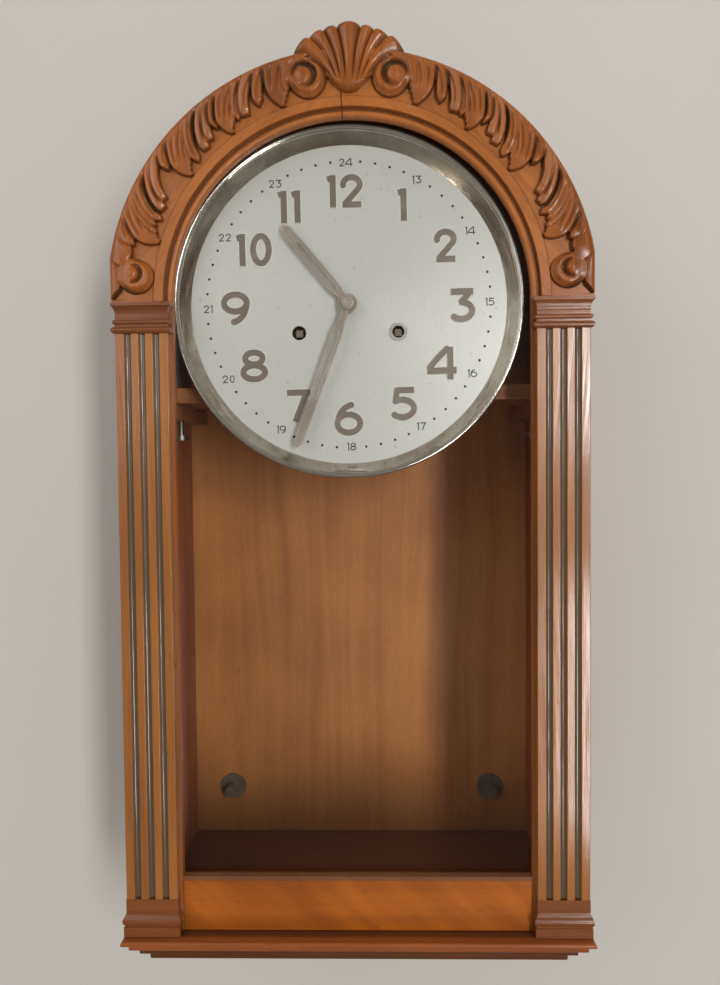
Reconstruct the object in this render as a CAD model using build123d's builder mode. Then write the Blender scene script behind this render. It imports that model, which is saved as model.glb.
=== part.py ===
from build123d import *
import os
from math import acos, atan2, cos, degrees, hypot, pi, radians, sin

# Wall clock in an arched case with a carved and glazed door.
# Millimetres, +Z up. The front looks towards -Y and the wall is the plane Y = 0.
# The origin is the centre of the screw hole in the wall hanger.

os.makedirs("parts", exist_ok=True)

# Overall sizes
case_width = 300.0  # over the pilasters
case_depth = 150.0  # from the wall to the pilaster faces
dial_drop = 112.0  # dial centre below the hanger hole
floor_drop = 411.5  # case floor below the dial centre

# Case boards
back_thick = 8.0
back_rebate = 5.0
side_thick = 10.0
side_inset = 2.5  # case sides stand in from the pilaster edges
base_width = 296.0
base_front = 152.5  # from the wall
lip_high = 3.4
steps_high = 17.1

# Seat for the movement
seat_drop = 52.0  # top of the seat board below the dial centre
seat_thick = 10.0
seat_front = 112.0  # from the wall
seat_deep = 56.0
seat_play = 0.3
cleat_wide = 13.5
cleat_high = 9.5
thumb_screw_radius = 2.0
thumb_knob_radius = 5.5
thumb_knob_high = 3.5
thumb_screw_reach = 11.0  # shank showing below the cleat
thumb_screw_bite = 6.0  # into the seat board
thumb_screw_y = -66.0

# Wall hanger and stabiliser screws
hanger_wide = 34.0
hanger_high = 44.0
hanger_thick = 2.0
hanger_hole_radius = 5.5
hanger_slot_wide = 4.6
hanger_slot_rise = 11.0
hanger_pocket = 4.0  # room behind the plate for the screw head
stabiliser_spread = 107.0
stabiliser_rise = 38.0  # above the floor
stabiliser_radius = 3.0
stabiliser_play = 0.06
stabiliser_travel = 6.0
rosette_radius = 10.5
rosette_thick = 1.6
stabiliser_knob_radius = 4.6
stabiliser_knob_long = 5.5
stabiliser_stand = 0.5  # knob clear of the rosette when screwed right in

# Door frame
pilaster_thick = 6.5
door_thick = 15.5
door_gap = 0.5
opening_width = 229.0
rail_top_drop = 375.2  # below the dial centre
glass_rebate = 5.0
glass_set = 5.0  # glass behind the frame face
glass_thick = 2.5
glass_play = 0.3
bead_thick = 4.0
bead_wide = 2.2
seam_lean = 2.35  # degrees that the arch seam leans to the left
edge_bead_wide = 4.0
groove_wide = 1.6
groove_deep = 1.6
band_wide = 6.6
band_rise = 2.0
field_rise = 0.5
arch_overhang = 4.0  # arch outside the pilaster edges

# Pilasters with capitals and plinths
pilaster_width = 33.5
flute_count = 3
flute_pitch = 9.1
flute_width = 4.1
flute_depth = 2.2
flute_edge_round = 0.4
capital_drop = 1.8
capital_high = 19.5
plinth_high = 24.1

# Carving blanks
shell_foot = 127.5  # meeting point of the lobes above the dial centre
shell_foot_round = 5.5
shell_reach = 44.0
shell_back_thick = 9.0
scroll_radius = 11.5
scroll_gap = 0.4
carving_rise = 6.0
spray_overhang = 2.0
top_scroll_x = 27.0
top_scroll_z = 132.7
low_scroll_x = 136.5
low_scroll_z = 15.5

# Hinges on the right, hook on the left
hinge_heights = (70.0, 330.0)  # below the dial centre
hinge_long = 42.0
hinge_leaf_wide = 11.5
hinge_leaf_thick = 1.2
hinge_leaf_gap = 0.2
knuckle_radius = 2.4
knuckle_play = 0.4
hinge_pin_radius = 1.0
pin_play = 0.05
hook_drop = 205.0
hook_pivot_y = -112.0
hook_reach = 23.0
hook_thick = 1.6
hook_stand = 0.5  # hook clear of the door edge
hook_pin_radius = 1.5
hook_pivot_radius = 1.6
hook_play = 0.3

# Dial and hands
dial_set = 25.1  # dial face behind the pilaster faces
dial_shift = 2.5  # dial and movement stand left of the middle of the door
dial_thick = 1.2
dial_radius = 112.4
dial_showing = 104.7
bezel_radius = 114.0
bezel_high = 9.4
bezel_sheet = 1.1
dial_hole_radius = 4.9
winding_hole_radius = 4.7
winding_spread = 32.9
winding_drop = 17.8
ferrule_radius = 6.0
ferrule_rise = 0.8
minute_hand_long = 100.0
minute_hand_turn = 200.4  # degrees clockwise from the top at rest
hour_hand_long = 67.0
hour_hand_turn = 320.2
hour_hand_wide = 7.5
hour_tip_wide = 7.2
minute_hand_wide = 7.0
minute_tip_wide = 5.9
hand_slot_from = 0.17  # share of the hand's length
hour_slot_to = 0.78
minute_slot_to = 0.68
hand_slot_wide = 2.6
hand_thick = 0.9
hand_hub_radius = 5.9
hand_nut_radius = 4.6
hand_nut_thick = 2.0

# Motion work between dial and movement
motion_room = 13.7
cannon_teeth = 12
minute_wheel_teeth = 36
minute_pinion_teeth = 10
hour_wheel_teeth = 40
motion_centres = 19.2
motion_turn = 128.0  # direction from the centre to the minute wheel, degrees
centre_arbor_radius = 1.6
pipe_wall = 0.95
hour_pipe_wall = 1.25
running_play = 0.07
post_radius = 1.5

# Movement
plate_wide = 112.0
plate_high = 106.0
plate_thick = 2.0
plate_gap = 46.0
pillar_radius = 3.6
pillar_spread = 49.0
pillar_margin = 7.0  # pillar centres from the top and bottom of the plates
barrel_radius = 21.5
barrel_long = 30.0
barrel_wall = 1.3
great_teeth = 48
great_radius = 24.0
winding_arbor_radius = 3.0
winding_square = 4.6
winding_end_gap = 1.5  # square end behind the dial
second_pinion_teeth = 10
second_teeth = 54
centre_pinion_teeth = 9
centre_pinion_radius = 3.15
centre_teeth = 72
third_pinion_teeth = 8
third_pinion_radius = 1.68
third_teeth = 72
escape_pinion_teeth = 8
escape_pinion_radius = 1.44
escape_teeth = 36
escape_radius = 11.5
escape_rise = 27.0  # escape arbor above the centre arbor
anchor_rise = 43.5  # anchor arbor above the centre arbor
wheel_thick = 1.6
pivot_radius = 1.0
arbor_radius = 1.4

# Pendulum suspension, hammer and gong
crutch_drop = 49.0
crutch_radius = 0.9
leader_y = -45.0
leader_wide = 6.0
leader_thick = 1.6
leader_long = 88.0
suspension_wide = 5.0
suspension_thick = 0.3
cock_wide = 18.0
cock_high = 11.0
gong_x = 44.0
gong_rise = 86.0
gong_rod_radius = 1.4
gong_rod_long = 180.0
gong_rod_ys = (-18.0, -30.0)
hammer_x = 39.0
hammer_rise = 33.0
hammer_head_rise = 75.0
hammer_head_long = 10.0
hammer_rest_gap = 1.0
hammer_stem_radius = 1.1

# Planes and lines that follow from the sizes above
half_width = case_width / 2
dial_z = -dial_drop
floor_z = dial_z - floor_drop
face_y = -case_depth
frame_y = face_y + pilaster_thick
door_back_y = frame_y + door_thick
case_front_y = door_back_y + door_gap
back_y = -back_thick
side_out_x = half_width - side_inset
side_in_x = side_out_x - side_thick
panel_x = side_in_x + back_rebate
seat_z = dial_z - seat_drop
seat_under_z = seat_z - seat_thick
door_foot_z = floor_z + door_gap
opening_x = opening_width / 2
glass_y = frame_y + glass_set
glass_back_y = glass_y + glass_thick
rail_top_z = dial_z - rail_top_drop
band_inner = opening_x + edge_bead_wide + groove_wide
band_outer = band_inner + band_wide
band_y = frame_y - band_rise
field_y = frame_y - field_rise
arch_radius = half_width + arch_overhang
hinge_x = half_width
hinge_y = (door_back_y + case_front_y) / 2
dial_x = -dial_shift
dial_y = face_y + dial_set
dial_back_y = dial_y + dial_thick
plate_front_y = dial_back_y + motion_room
plate_inner_y = plate_front_y + plate_thick
back_plate_y = plate_inner_y + plate_gap
back_plate_rear_y = back_plate_y + plate_thick
plate_mid_z = seat_z + plate_high / 2
winding_z = dial_z - winding_drop


def facing(y):
    """Plane across the clock at depth y, looking to the front: sketch x is X and sketch y is Z."""
    return Plane.XZ.offset(-y)


def keep(name, builder):
    """Label a finished piece and write it to its own file."""
    builder.part.label = name
    export_step(builder.part, f"parts/{name}.step")


def turned(x, z, radius, front_y, rear_y, mode=Mode.ADD):
    """Round bar along Y, from front_y back to rear_y."""
    with Locations(Location((x, (front_y + rear_y) / 2, z), (90, 0, 0))):
        Cylinder(radius, rear_y - front_y, mode=mode)


def block(x_from, x_to, y_from, y_to, z_from, z_to, mode=Mode.ADD):
    """Squared block between three pairs of planes."""
    with Locations(((x_from + x_to) / 2, (y_from + y_to) / 2, (z_from + z_to) / 2)):
        Box(abs(x_to - x_from), abs(y_to - y_from), abs(z_to - z_from), mode=mode)


def trace(steps, place):
    """Draw a moulding edge: pairs are corners, four numbers are the middle and end of an arc."""
    here = steps[0]
    for step in steps[1:]:
        if len(step) == 2:
            Line(place(*here), place(*step))
        else:
            ThreePointArc(place(*here), place(*step[:2]), place(*step[2:]))
        here = step[-2:]


def moulded_block(x_mid, width, front_y, rear_y, top_z, high, steps):
    """Block with one moulding worked along its front and both ends, mitred at the corners.

    Each step is how far it stands out and how far down it is, as a share of the height.
    """

    def front_edge(out, down):
        return (front_y - out, top_z - down * high)

    def right_edge(out, down):
        return (x_mid + width / 2 + out, top_z - down * high)

    def left_edge(out, down):
        return (x_mid - width / 2 - out, top_z - down * high)

    first = steps[0]
    last = steps[-1][-2:]
    reach = rear_y - front_y + width
    with BuildPart() as moulded:
        with BuildSketch(Plane.YZ.offset(x_mid)):
            with BuildLine():
                trace(steps, front_edge)
                Polyline(front_edge(*last), (rear_y, top_z - high), (rear_y, top_z), front_edge(*first))
            make_face()
        extrude(amount=width, both=True)
        with BuildSketch(facing(rear_y)):
            with BuildLine():
                trace(steps, right_edge)
                Line(right_edge(*last), left_edge(*last))
                trace(steps, left_edge)
                Line(left_edge(*first), right_edge(*first))
            make_face()
        extrude(amount=reach, mode=Mode.INTERSECT)
    return moulded


def tooth_points(teeth, radius):
    """Outline of a wheel with straight-sided teeth, the first tooth pointing along sketch x."""
    module = 2 * radius / teeth
    pitch = 2 * pi / teeth
    tip = radius + 0.7 * module
    root = radius - 1.05 * module
    points = []
    for tooth in range(teeth):
        at = tooth * pitch
        for reach, side in ((root, -0.29), (tip, -0.12), (tip, 0.12), (root, 0.29)):
            angle = at + side * pitch
            points.append((reach * cos(angle), reach * sin(angle)))
    return points


def ratchet_points(teeth, tip, root):
    """Outline of a wheel with raked, pointed teeth."""
    pitch = 2 * pi / teeth
    points = []
    for tooth in range(teeth):
        at = tooth * pitch
        points.append((root * cos(at), root * sin(at)))
        points.append((tip * cos(at + 0.12 * pitch), tip * sin(at + 0.12 * pitch)))
        points.append((tip * cos(at + 0.26 * pitch), tip * sin(at + 0.26 * pitch)))
    return points


def meeting_point(one, one_reach, two, two_reach):
    """Centre at given distances from two other centres, on the upper side of the line between them."""
    across = hypot(two[0] - one[0], two[1] - one[1])
    swing = acos((one_reach**2 + across**2 - two_reach**2) / (2 * one_reach * across))
    toward = atan2(two[1] - one[1], two[0] - one[0])
    angle = toward + swing
    return (one[0] + one_reach * cos(angle), one[1] + one_reach * sin(angle))


def bearing(one, two):
    """Direction from one centre to another, degrees."""
    return degrees(atan2(two[1] - one[1], two[0] - one[0]))


def wheelwork(centre, toothed, bars, bore=0.0, windows=()):
    """Arbor with its wheels and pinions.

    toothed: outline, turn, front and rear of each toothed disc.
    bars: radius, front and rear of each round length.
    windows: count, hole radius, hole circle, front and rear of the openings in a wheel.
    """
    x, z = centre
    with BuildPart() as work:
        for outline, turn, front_y, rear_y in toothed:
            with BuildSketch(facing(rear_y)):
                with Locations(Location((x, z, 0), (0, 0, 1), turn)):
                    Polygon(*outline, align=None)
            extrude(amount=rear_y - front_y)
        for count, hole, circle, front_y, rear_y in windows:
            with BuildSketch(facing(rear_y)):
                with Locations((x, z)):
                    with PolarLocations(circle, count):
                        Circle(hole)
            extrude(amount=rear_y - front_y, mode=Mode.SUBTRACT)
        for radius, front_y, rear_y in bars:
            turned(x, z, radius, front_y, rear_y)
        if bore:
            turned(x, z, bore, face_y, 0, mode=Mode.SUBTRACT)
    return work


# Case

with BuildPart() as back_panel:
    with BuildSketch(facing(0)):
        with Locations((0, dial_z)):
            Circle(panel_x)
        with Locations((0, (dial_z + floor_z) / 2)):
            Rectangle(2 * panel_x, dial_z - floor_z)
        with Locations((-stabiliser_spread, floor_z + stabiliser_rise), (stabiliser_spread, floor_z + stabiliser_rise)):
            Circle(stabiliser_radius + 0.5, mode=Mode.SUBTRACT)
    extrude(amount=back_thick)
    with BuildSketch(facing(0)):
        with Locations((0, hanger_slot_rise / 2)):
            Rectangle(hanger_wide, hanger_high)
    extrude(amount=hanger_thick, mode=Mode.SUBTRACT)
    with BuildSketch(facing(0)):
        with Locations((0, hanger_slot_rise / 2)):
            SlotOverall(hanger_slot_rise + 3 * hanger_hole_radius, 2.4 * hanger_hole_radius, rotation=90)
    extrude(amount=hanger_thick + hanger_pocket, mode=Mode.SUBTRACT)
keep("back_panel", back_panel)

with BuildPart() as wall_hanger:
    with BuildSketch(facing(0)):
        with Locations((0, hanger_slot_rise / 2)):
            Rectangle(hanger_wide, hanger_high)
        Circle(hanger_hole_radius, mode=Mode.SUBTRACT)
        with Locations((0, hanger_slot_rise / 2)):
            Rectangle(hanger_slot_wide, hanger_slot_rise, mode=Mode.SUBTRACT)
        with Locations((0, hanger_slot_rise)):
            Circle(hanger_slot_wide / 2, mode=Mode.SUBTRACT)
    extrude(amount=hanger_thick)
keep("wall_hanger", wall_hanger)

for hand, sign in (("left", -1), ("right", 1)):
    with BuildPart() as case_side:
        with BuildSketch(Plane.XY.offset(floor_z)):
            with BuildLine():
                Polyline(
                    (sign * side_in_x, case_front_y),
                    (sign * side_out_x, case_front_y),
                    (sign * side_out_x, 0),
                    (sign * panel_x, 0),
                    (sign * panel_x, back_y),
                    (sign * side_in_x, back_y),
                    close=True,
                )
            make_face()
        extrude(amount=dial_z - floor_z)
        if sign > 0:
            for drop in hinge_heights:
                low_z = dial_z - drop - hinge_long / 2
                leaf_back_y = hinge_y + hinge_leaf_gap / 2 + hinge_leaf_thick
                block(hinge_x - hinge_leaf_wide, hinge_x, case_front_y, leaf_back_y, low_z, low_z + hinge_long, Mode.SUBTRACT)
                with Locations((hinge_x, hinge_y, low_z + hinge_long / 2)):
                    Cylinder(knuckle_radius + knuckle_play, hinge_long, mode=Mode.SUBTRACT)
    keep(f"case_side_{hand}", case_side)

with BuildPart() as case_hood:
    with BuildSketch(facing(0)):
        with Locations((0, dial_z)):
            Circle(side_out_x)
            Circle(side_in_x, mode=Mode.SUBTRACT)
        with Locations((0, dial_z - side_out_x)):
            Rectangle(2 * case_width, 2 * side_out_x, mode=Mode.SUBTRACT)
    extrude(amount=-case_front_y)
    turned(0, dial_z, panel_x, back_y, 0, mode=Mode.SUBTRACT)
keep("case_hood", case_hood)

lip_steps = [(2.6, 0.0), (4.5, 0.5, 2.6, 1.0)]
base_board = moulded_block(0, base_width, -base_front, 0, floor_z, lip_high, lip_steps)
keep("base_board", base_board)

under_steps = [
    (0.4, 0.0),
    (0.4, 0.2),
    (0.0, 0.26, -1.2, 0.29),
    (-5.0, 0.29),
    (-5.0, 0.53),
    (-5.4, 0.59, -6.6, 0.62),
    (-10.4, 0.62),
    (-10.4, 0.9),
    (-10.8, 0.97, -12.2, 1.0),
]
base_steps = moulded_block(0, base_width, -base_front, 0, floor_z - lip_high, steps_high, under_steps)
keep("base_steps", base_steps)

with BuildPart() as seat_board:
    seat_x = side_in_x - seat_play
    block(-seat_x, seat_x, -seat_front, -seat_front + seat_deep, seat_under_z, seat_z)
    for sign in (-1, 1):
        with Locations((sign * (side_in_x - cleat_wide / 2), thumb_screw_y, seat_under_z + thumb_screw_bite / 2)):
            Cylinder(thumb_screw_radius, thumb_screw_bite, mode=Mode.SUBTRACT)
keep("seat_board", seat_board)

with BuildPart() as seat_cleats:
    for sign in (-1, 1):
        inner_x = sign * (side_in_x - cleat_wide)
        block(inner_x, sign * side_in_x, -seat_front, back_y, seat_under_z - cleat_high, seat_under_z)
        with Locations((sign * (side_in_x - cleat_wide / 2), thumb_screw_y, seat_under_z - cleat_high / 2)):
            Cylinder(thumb_screw_radius, cleat_high, mode=Mode.SUBTRACT)
keep("seat_cleats", seat_cleats)

with BuildPart() as seat_thumb_screws:
    for sign in (-1, 1):
        shank = thumb_screw_bite + cleat_high + thumb_screw_reach
        screw_x = sign * (side_in_x - cleat_wide / 2)
        knob_z = seat_under_z - cleat_high - thumb_screw_reach
        with Locations((screw_x, thumb_screw_y, knob_z + shank / 2)):
            Cylinder(thumb_screw_radius, shank)
        with Locations((screw_x, thumb_screw_y, knob_z - thumb_knob_high / 2)):
            Cylinder(thumb_knob_radius, thumb_knob_high)
keep("seat_thumb_screws", seat_thumb_screws)

stabiliser_z = floor_z + stabiliser_rise
rosette_y = back_y - rosette_thick
knob_back_y = rosette_y - stabiliser_stand - stabiliser_travel
with BuildPart() as stabiliser_rosettes:
    for sign in (-1, 1):
        turned(sign * stabiliser_spread, stabiliser_z, rosette_radius, rosette_y, back_y)
        turned(
            sign * stabiliser_spread, stabiliser_z, stabiliser_radius + stabiliser_play, rosette_y, back_y, Mode.SUBTRACT
        )
keep("stabiliser_rosettes", stabiliser_rosettes)

for hand, sign in (("left", -1), ("right", 1)):
    with BuildPart() as stabiliser_screw:
        screw_x = sign * stabiliser_spread
        turned(screw_x, stabiliser_z, stabiliser_radius, knob_back_y, -4.0)
        turned(screw_x, stabiliser_z, stabiliser_knob_radius, knob_back_y - stabiliser_knob_long, knob_back_y)
        with Locations(Location((screw_x, -2.2, stabiliser_z), (90, 0, 0))):
            Cone(0.6, stabiliser_radius, 3.6)
    keep(f"stabiliser_screw_{hand}", stabiliser_screw)

# Door

with BuildPart() as door_rail:
    with BuildSketch(Plane.YZ):
        with BuildLine():
            Polyline(
                (frame_y, door_foot_z),
                (door_back_y, door_foot_z),
                (door_back_y, rail_top_z - glass_rebate),
                (glass_y, rail_top_z - glass_rebate),
                (glass_y, rail_top_z),
                (frame_y, rail_top_z),
                close=True,
            )
        make_face()
    extrude(amount=opening_x, both=True)
keep("door_rail", door_rail)

for hand, sign in (("left", -1), ("right", 1)):
    with BuildPart() as door_stile:
        with BuildSketch(Plane.XY.offset(door_foot_z)):
            with BuildLine():
                Polyline(
                    (sign * opening_x, frame_y),
                    (sign * half_width, frame_y),
                    (sign * half_width, door_back_y),
                    (sign * (opening_x + glass_rebate), door_back_y),
                    (sign * (opening_x + glass_rebate), glass_y),
                    (sign * opening_x, glass_y),
                    close=True,
                )
            make_face()
        extrude(amount=dial_z - door_foot_z)
        # The glass rebate stops at the rail, which butts against the stile below it.
        block(
            sign * opening_x,
            sign * (opening_x + glass_rebate),
            glass_y,
            door_back_y,
            door_foot_z,
            rail_top_z - glass_rebate,
        )
        if sign > 0:
            for drop in hinge_heights:
                low_z = dial_z - drop - hinge_long / 2
                leaf_front_y = hinge_y - hinge_leaf_gap / 2 - hinge_leaf_thick
                block(hinge_x - hinge_leaf_wide, hinge_x, leaf_front_y, door_back_y, low_z, low_z + hinge_long, Mode.SUBTRACT)
                with Locations((hinge_x, hinge_y, low_z + hinge_long / 2)):
                    Cylinder(knuckle_radius + knuckle_play, hinge_long, mode=Mode.SUBTRACT)
    keep(f"door_stile_{hand}", door_stile)

for hand, sign in (("left", -1), ("right", 1)):
    with BuildPart() as door_arch:
        with BuildSketch(Plane.XY.offset(dial_z)):
            with BuildLine():
                bead_end = opening_x + edge_bead_wide
                groove_y = frame_y + groove_deep
                Line((sign * opening_x, glass_y), (sign * opening_x, groove_y))
                ThreePointArc(
                    (sign * opening_x, groove_y),
                    (sign * (opening_x + edge_bead_wide / 2), frame_y - 0.6),
                    (sign * bead_end, groove_y),
                )
                Polyline(
                    (sign * bead_end, groove_y),
                    (sign * band_inner, groove_y),
                    (sign * (band_inner + 0.4), band_y),
                    (sign * (band_outer - 0.4), band_y),
                    (sign * band_outer, field_y),
                    (sign * arch_radius, field_y),
                    (sign * arch_radius, door_back_y),
                    (sign * (opening_x + glass_rebate), door_back_y),
                    (sign * (opening_x + glass_rebate), glass_y),
                    (sign * opening_x, glass_y),
                )
            make_face()
        revolve(axis=Axis((0, 0, dial_z), (0, -sign, 0)), revolution_arc=90 + sign * seam_lean)
    keep(f"door_arch_{hand}", door_arch)

pilaster_x = half_width - pilaster_width / 2
capital_top_z = dial_z - capital_drop
capital_foot_z = capital_top_z - capital_high
plinth_top_z = door_foot_z + plinth_high

with BuildPart() as pilasters:
    with BuildSketch(Plane.XY.offset(plinth_top_z)):
        with Locations((-pilaster_x, (face_y + frame_y) / 2), (pilaster_x, (face_y + frame_y) / 2)):
            Rectangle(pilaster_width, pilaster_thick)
        with Locations((-pilaster_x, face_y + flute_depth / 2), (pilaster_x, face_y + flute_depth / 2)):
            with GridLocations(flute_pitch, 0, flute_count, 1):
                Rectangle(flute_width, flute_depth, mode=Mode.SUBTRACT)
    extrude(amount=capital_foot_z - plinth_top_z)
    fillet(pilasters.edges().filter_by(Axis.Z).group_by(Axis.Y)[0], flute_edge_round)
keep("pilasters", pilasters)

capital_steps = [
    (2.2, 0.0),
    (2.2, 0.11),
    (1.6, 0.13),
    (0.3, 0.26, 0.0, 0.44),
    (0.0, 0.55),
    (1.3, 0.63, 0.2, 0.71),
    (0.2, 0.78),
    (2.2, 0.89, 0.2, 1.0),
]
right_capital = moulded_block(
    pilaster_x, pilaster_width, face_y, frame_y, capital_top_z, capital_high, capital_steps
)
with BuildPart() as capitals:
    add(right_capital.part)
    mirror(about=Plane.YZ)
keep("capitals", capitals)

plinth_steps = [
    (0.2, 0.0),
    (0.2, 0.3),
    (0.6, 0.42, 1.6, 0.49),
    (2.3, 0.58, 1.6, 0.67),
    (1.0, 0.69),
    (1.0, 0.73),
    (1.6, 0.74),
    (1.6, 1.0),
]
right_plinth = moulded_block(pilaster_x, pilaster_width, face_y, frame_y, plinth_top_z, plinth_high, plinth_steps)
with BuildPart() as plinths:
    add(right_plinth.part)
    mirror(about=Plane.YZ)
keep("plinths", plinths)

# Each lobe of the shell: lean from upright in degrees, length and end radius as shares of the reach
shell_lobes = [(0, 0.828, 0.174)]
for lean, long, end in ((18.9, 0.879, 0.102), (32.6, 0.872, 0.109), (48.0, 0.857, 0.124)):
    shell_lobes.append((lean, long, end))
    shell_lobes.append((-lean, long, end))
shell_valleys = (-39.8, -25.5, -12.2, 12.2, 25.5, 39.8)
scroll_spots = ((-top_scroll_x, dial_z + top_scroll_z), (top_scroll_x, dial_z + top_scroll_z))
shell_foot_z = dial_z + shell_foot

with BuildPart() as shell_crest:
    with BuildSketch(facing(field_y + shell_back_thick)):
        for lean, long, end in shell_lobes:
            at = radians(lean)
            across = (shell_reach * end * cos(at), -shell_reach * end * sin(at))
            tip = (shell_reach * long * sin(at), shell_foot_z + shell_reach * long * cos(at))
            with Locations(tip):
                Circle(shell_reach * end)
            with BuildLine():
                Polyline(
                    (0, shell_foot_z),
                    (tip[0] + across[0], tip[1] + across[1]),
                    (tip[0] - across[0], tip[1] - across[1]),
                    close=True,
                )
            make_face()
        with Locations((0, shell_foot_z + shell_foot_round / 2)):
            Circle(shell_foot_round)
    extrude(amount=shell_back_thick + carving_rise)
    # The grooves between the lobes widen from the foot to the edge
    for valley in shell_valleys:
        along = Location((0, field_y - carving_rise, shell_foot_z), (0, valley, 0))
        with Locations(along * Location((0, 0, 0.65 * shell_reach))):
            Cone(0.5, 2.4, 0.8 * shell_reach, mode=Mode.SUBTRACT)
    turned(0, dial_z, arch_radius, field_y, 0, mode=Mode.SUBTRACT)
    for spot in scroll_spots:
        turned(*spot, scroll_radius + scroll_gap, 2 * face_y, field_y, mode=Mode.SUBTRACT)
    turned(0, dial_z, band_outer, band_y, field_y, mode=Mode.SUBTRACT)
keep("shell_crest", shell_crest)

# Leaves along each side of the arch: place in degrees above the springing, length, width, lean to the arch
leaf_places = ((17, 17, 10.5, 14), (30, 17, 11.0, 12), (43, 17, 11.0, 12), (56, 17, 11.0, 12), (69, 17, 10.5, 6))
leaf_radius = (band_outer + arch_radius + spray_overhang) / 2

for hand, sign in (("left", -1), ("right", 1)):
    with BuildPart() as leaf_spray:
        with BuildSketch(facing(field_y)):
            for place, long, wide, lean in leaf_places:
                at = radians(place)
                spot = (sign * leaf_radius * cos(at), dial_z + leaf_radius * sin(at), 0)
                with Locations(Location(spot, (0, 0, 1), sign * (place + 90 - lean))):
                    Ellipse(long, wide)
            with Locations((sign * top_scroll_x, dial_z + top_scroll_z), (sign * low_scroll_x, dial_z + low_scroll_z)):
                Circle(scroll_radius)
            with Locations((0, dial_z)):
                Circle(arch_radius + spray_overhang, mode=Mode.INTERSECT)
                Circle(band_outer + 0.3, mode=Mode.SUBTRACT)
        extrude(amount=carving_rise)
    keep(f"leaf_spray_{hand}", leaf_spray)

pane_x = opening_x + glass_rebate - glass_play
pane_foot_z = rail_top_z - glass_rebate + glass_play
with BuildPart() as glass_pane:
    with BuildSketch(facing(glass_back_y)):
        with Locations((0, dial_z)):
            Circle(pane_x)
        with Locations((0, (dial_z + pane_foot_z) / 2)):
            Rectangle(2 * pane_x, dial_z - pane_foot_z)
    extrude(amount=glass_thick)
keep("glass_pane", glass_pane)

bead_out_x = opening_x + glass_rebate
bead_in_x = bead_out_x - bead_wide
bead_foot_z = rail_top_z - glass_rebate
with BuildPart() as glass_beads:
    with BuildSketch(facing(glass_back_y + bead_thick)):
        with Locations((0, dial_z)):
            Circle(bead_out_x)
        with Locations((0, (dial_z + bead_foot_z) / 2)):
            Rectangle(2 * bead_out_x, dial_z - bead_foot_z)
        with Locations((0, dial_z)):
            Circle(bead_in_x, mode=Mode.SUBTRACT)
        with Locations((0, (dial_z + bead_foot_z + bead_wide) / 2)):
            Rectangle(2 * bead_in_x, dial_z - bead_foot_z - bead_wide, mode=Mode.SUBTRACT)
    extrude(amount=bead_thick)
keep("glass_beads", glass_beads)

# Hinges and hook

knuckle_long = hinge_long / 3
with BuildPart() as case_hinge_leaves:
    for drop in hinge_heights:
        mid_z = dial_z - drop
        near_y = hinge_y + hinge_leaf_gap / 2
        block(
            hinge_x - hinge_leaf_wide, hinge_x, near_y, near_y + hinge_leaf_thick, mid_z - hinge_long / 2, mid_z + hinge_long / 2
        )
        with Locations((hinge_x, hinge_y, mid_z)):
            Cylinder(knuckle_radius + knuckle_play, knuckle_long + 2 * pin_play, mode=Mode.SUBTRACT)
        with Locations((hinge_x, hinge_y, mid_z - knuckle_long), (hinge_x, hinge_y, mid_z + knuckle_long)):
            Cylinder(knuckle_radius, knuckle_long - 2 * pin_play)
        with Locations((hinge_x, hinge_y, mid_z)):
            Cylinder(hinge_pin_radius, hinge_long)
keep("case_hinge_leaves", case_hinge_leaves)

with BuildPart() as door_hinge_leaves:
    for drop in hinge_heights:
        mid_z = dial_z - drop
        near_y = hinge_y - hinge_leaf_gap / 2
        block(
            hinge_x - hinge_leaf_wide, hinge_x, near_y - hinge_leaf_thick, near_y, mid_z - hinge_long / 2, mid_z + hinge_long / 2
        )
        with Locations((hinge_x, hinge_y, mid_z - knuckle_long), (hinge_x, hinge_y, mid_z + knuckle_long)):
            Cylinder(knuckle_radius + knuckle_play, knuckle_long + 2 * pin_play, mode=Mode.SUBTRACT)
        with Locations((hinge_x, hinge_y, mid_z)):
            Cylinder(knuckle_radius, knuckle_long - 2 * pin_play)
            Cylinder(hinge_pin_radius + pin_play, hinge_long, mode=Mode.SUBTRACT)
keep("door_hinge_leaves", door_hinge_leaves)

hook_z = dial_z - hook_drop
hook_inner_x = -half_width - hook_stand
hook_outer_x = hook_inner_x - hook_thick
hook_pin_y = hook_pivot_y - hook_reach

with BuildPart() as hook_pivot:
    pivot_long = side_inset + hook_stand + hook_thick + 2 * hook_play
    with Locations(Location((-side_out_x - pivot_long / 2, hook_pivot_y, hook_z), (0, 90, 0))):
        Cylinder(hook_pivot_radius, pivot_long)
    with Locations(Location((-side_out_x - pivot_long - 0.5, hook_pivot_y, hook_z), (0, 90, 0))):
        Cylinder(2 * hook_pivot_radius, 1.0)
keep("hook_pivot", hook_pivot)

with BuildPart() as hook_pin:
    pin_long = hook_stand + hook_thick + 0.6
    with Locations(Location((-half_width - pin_long / 2, hook_pin_y, hook_z), (0, 90, 0))):
        Cylinder(hook_pin_radius, pin_long)
keep("hook_pin", hook_pin)

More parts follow.
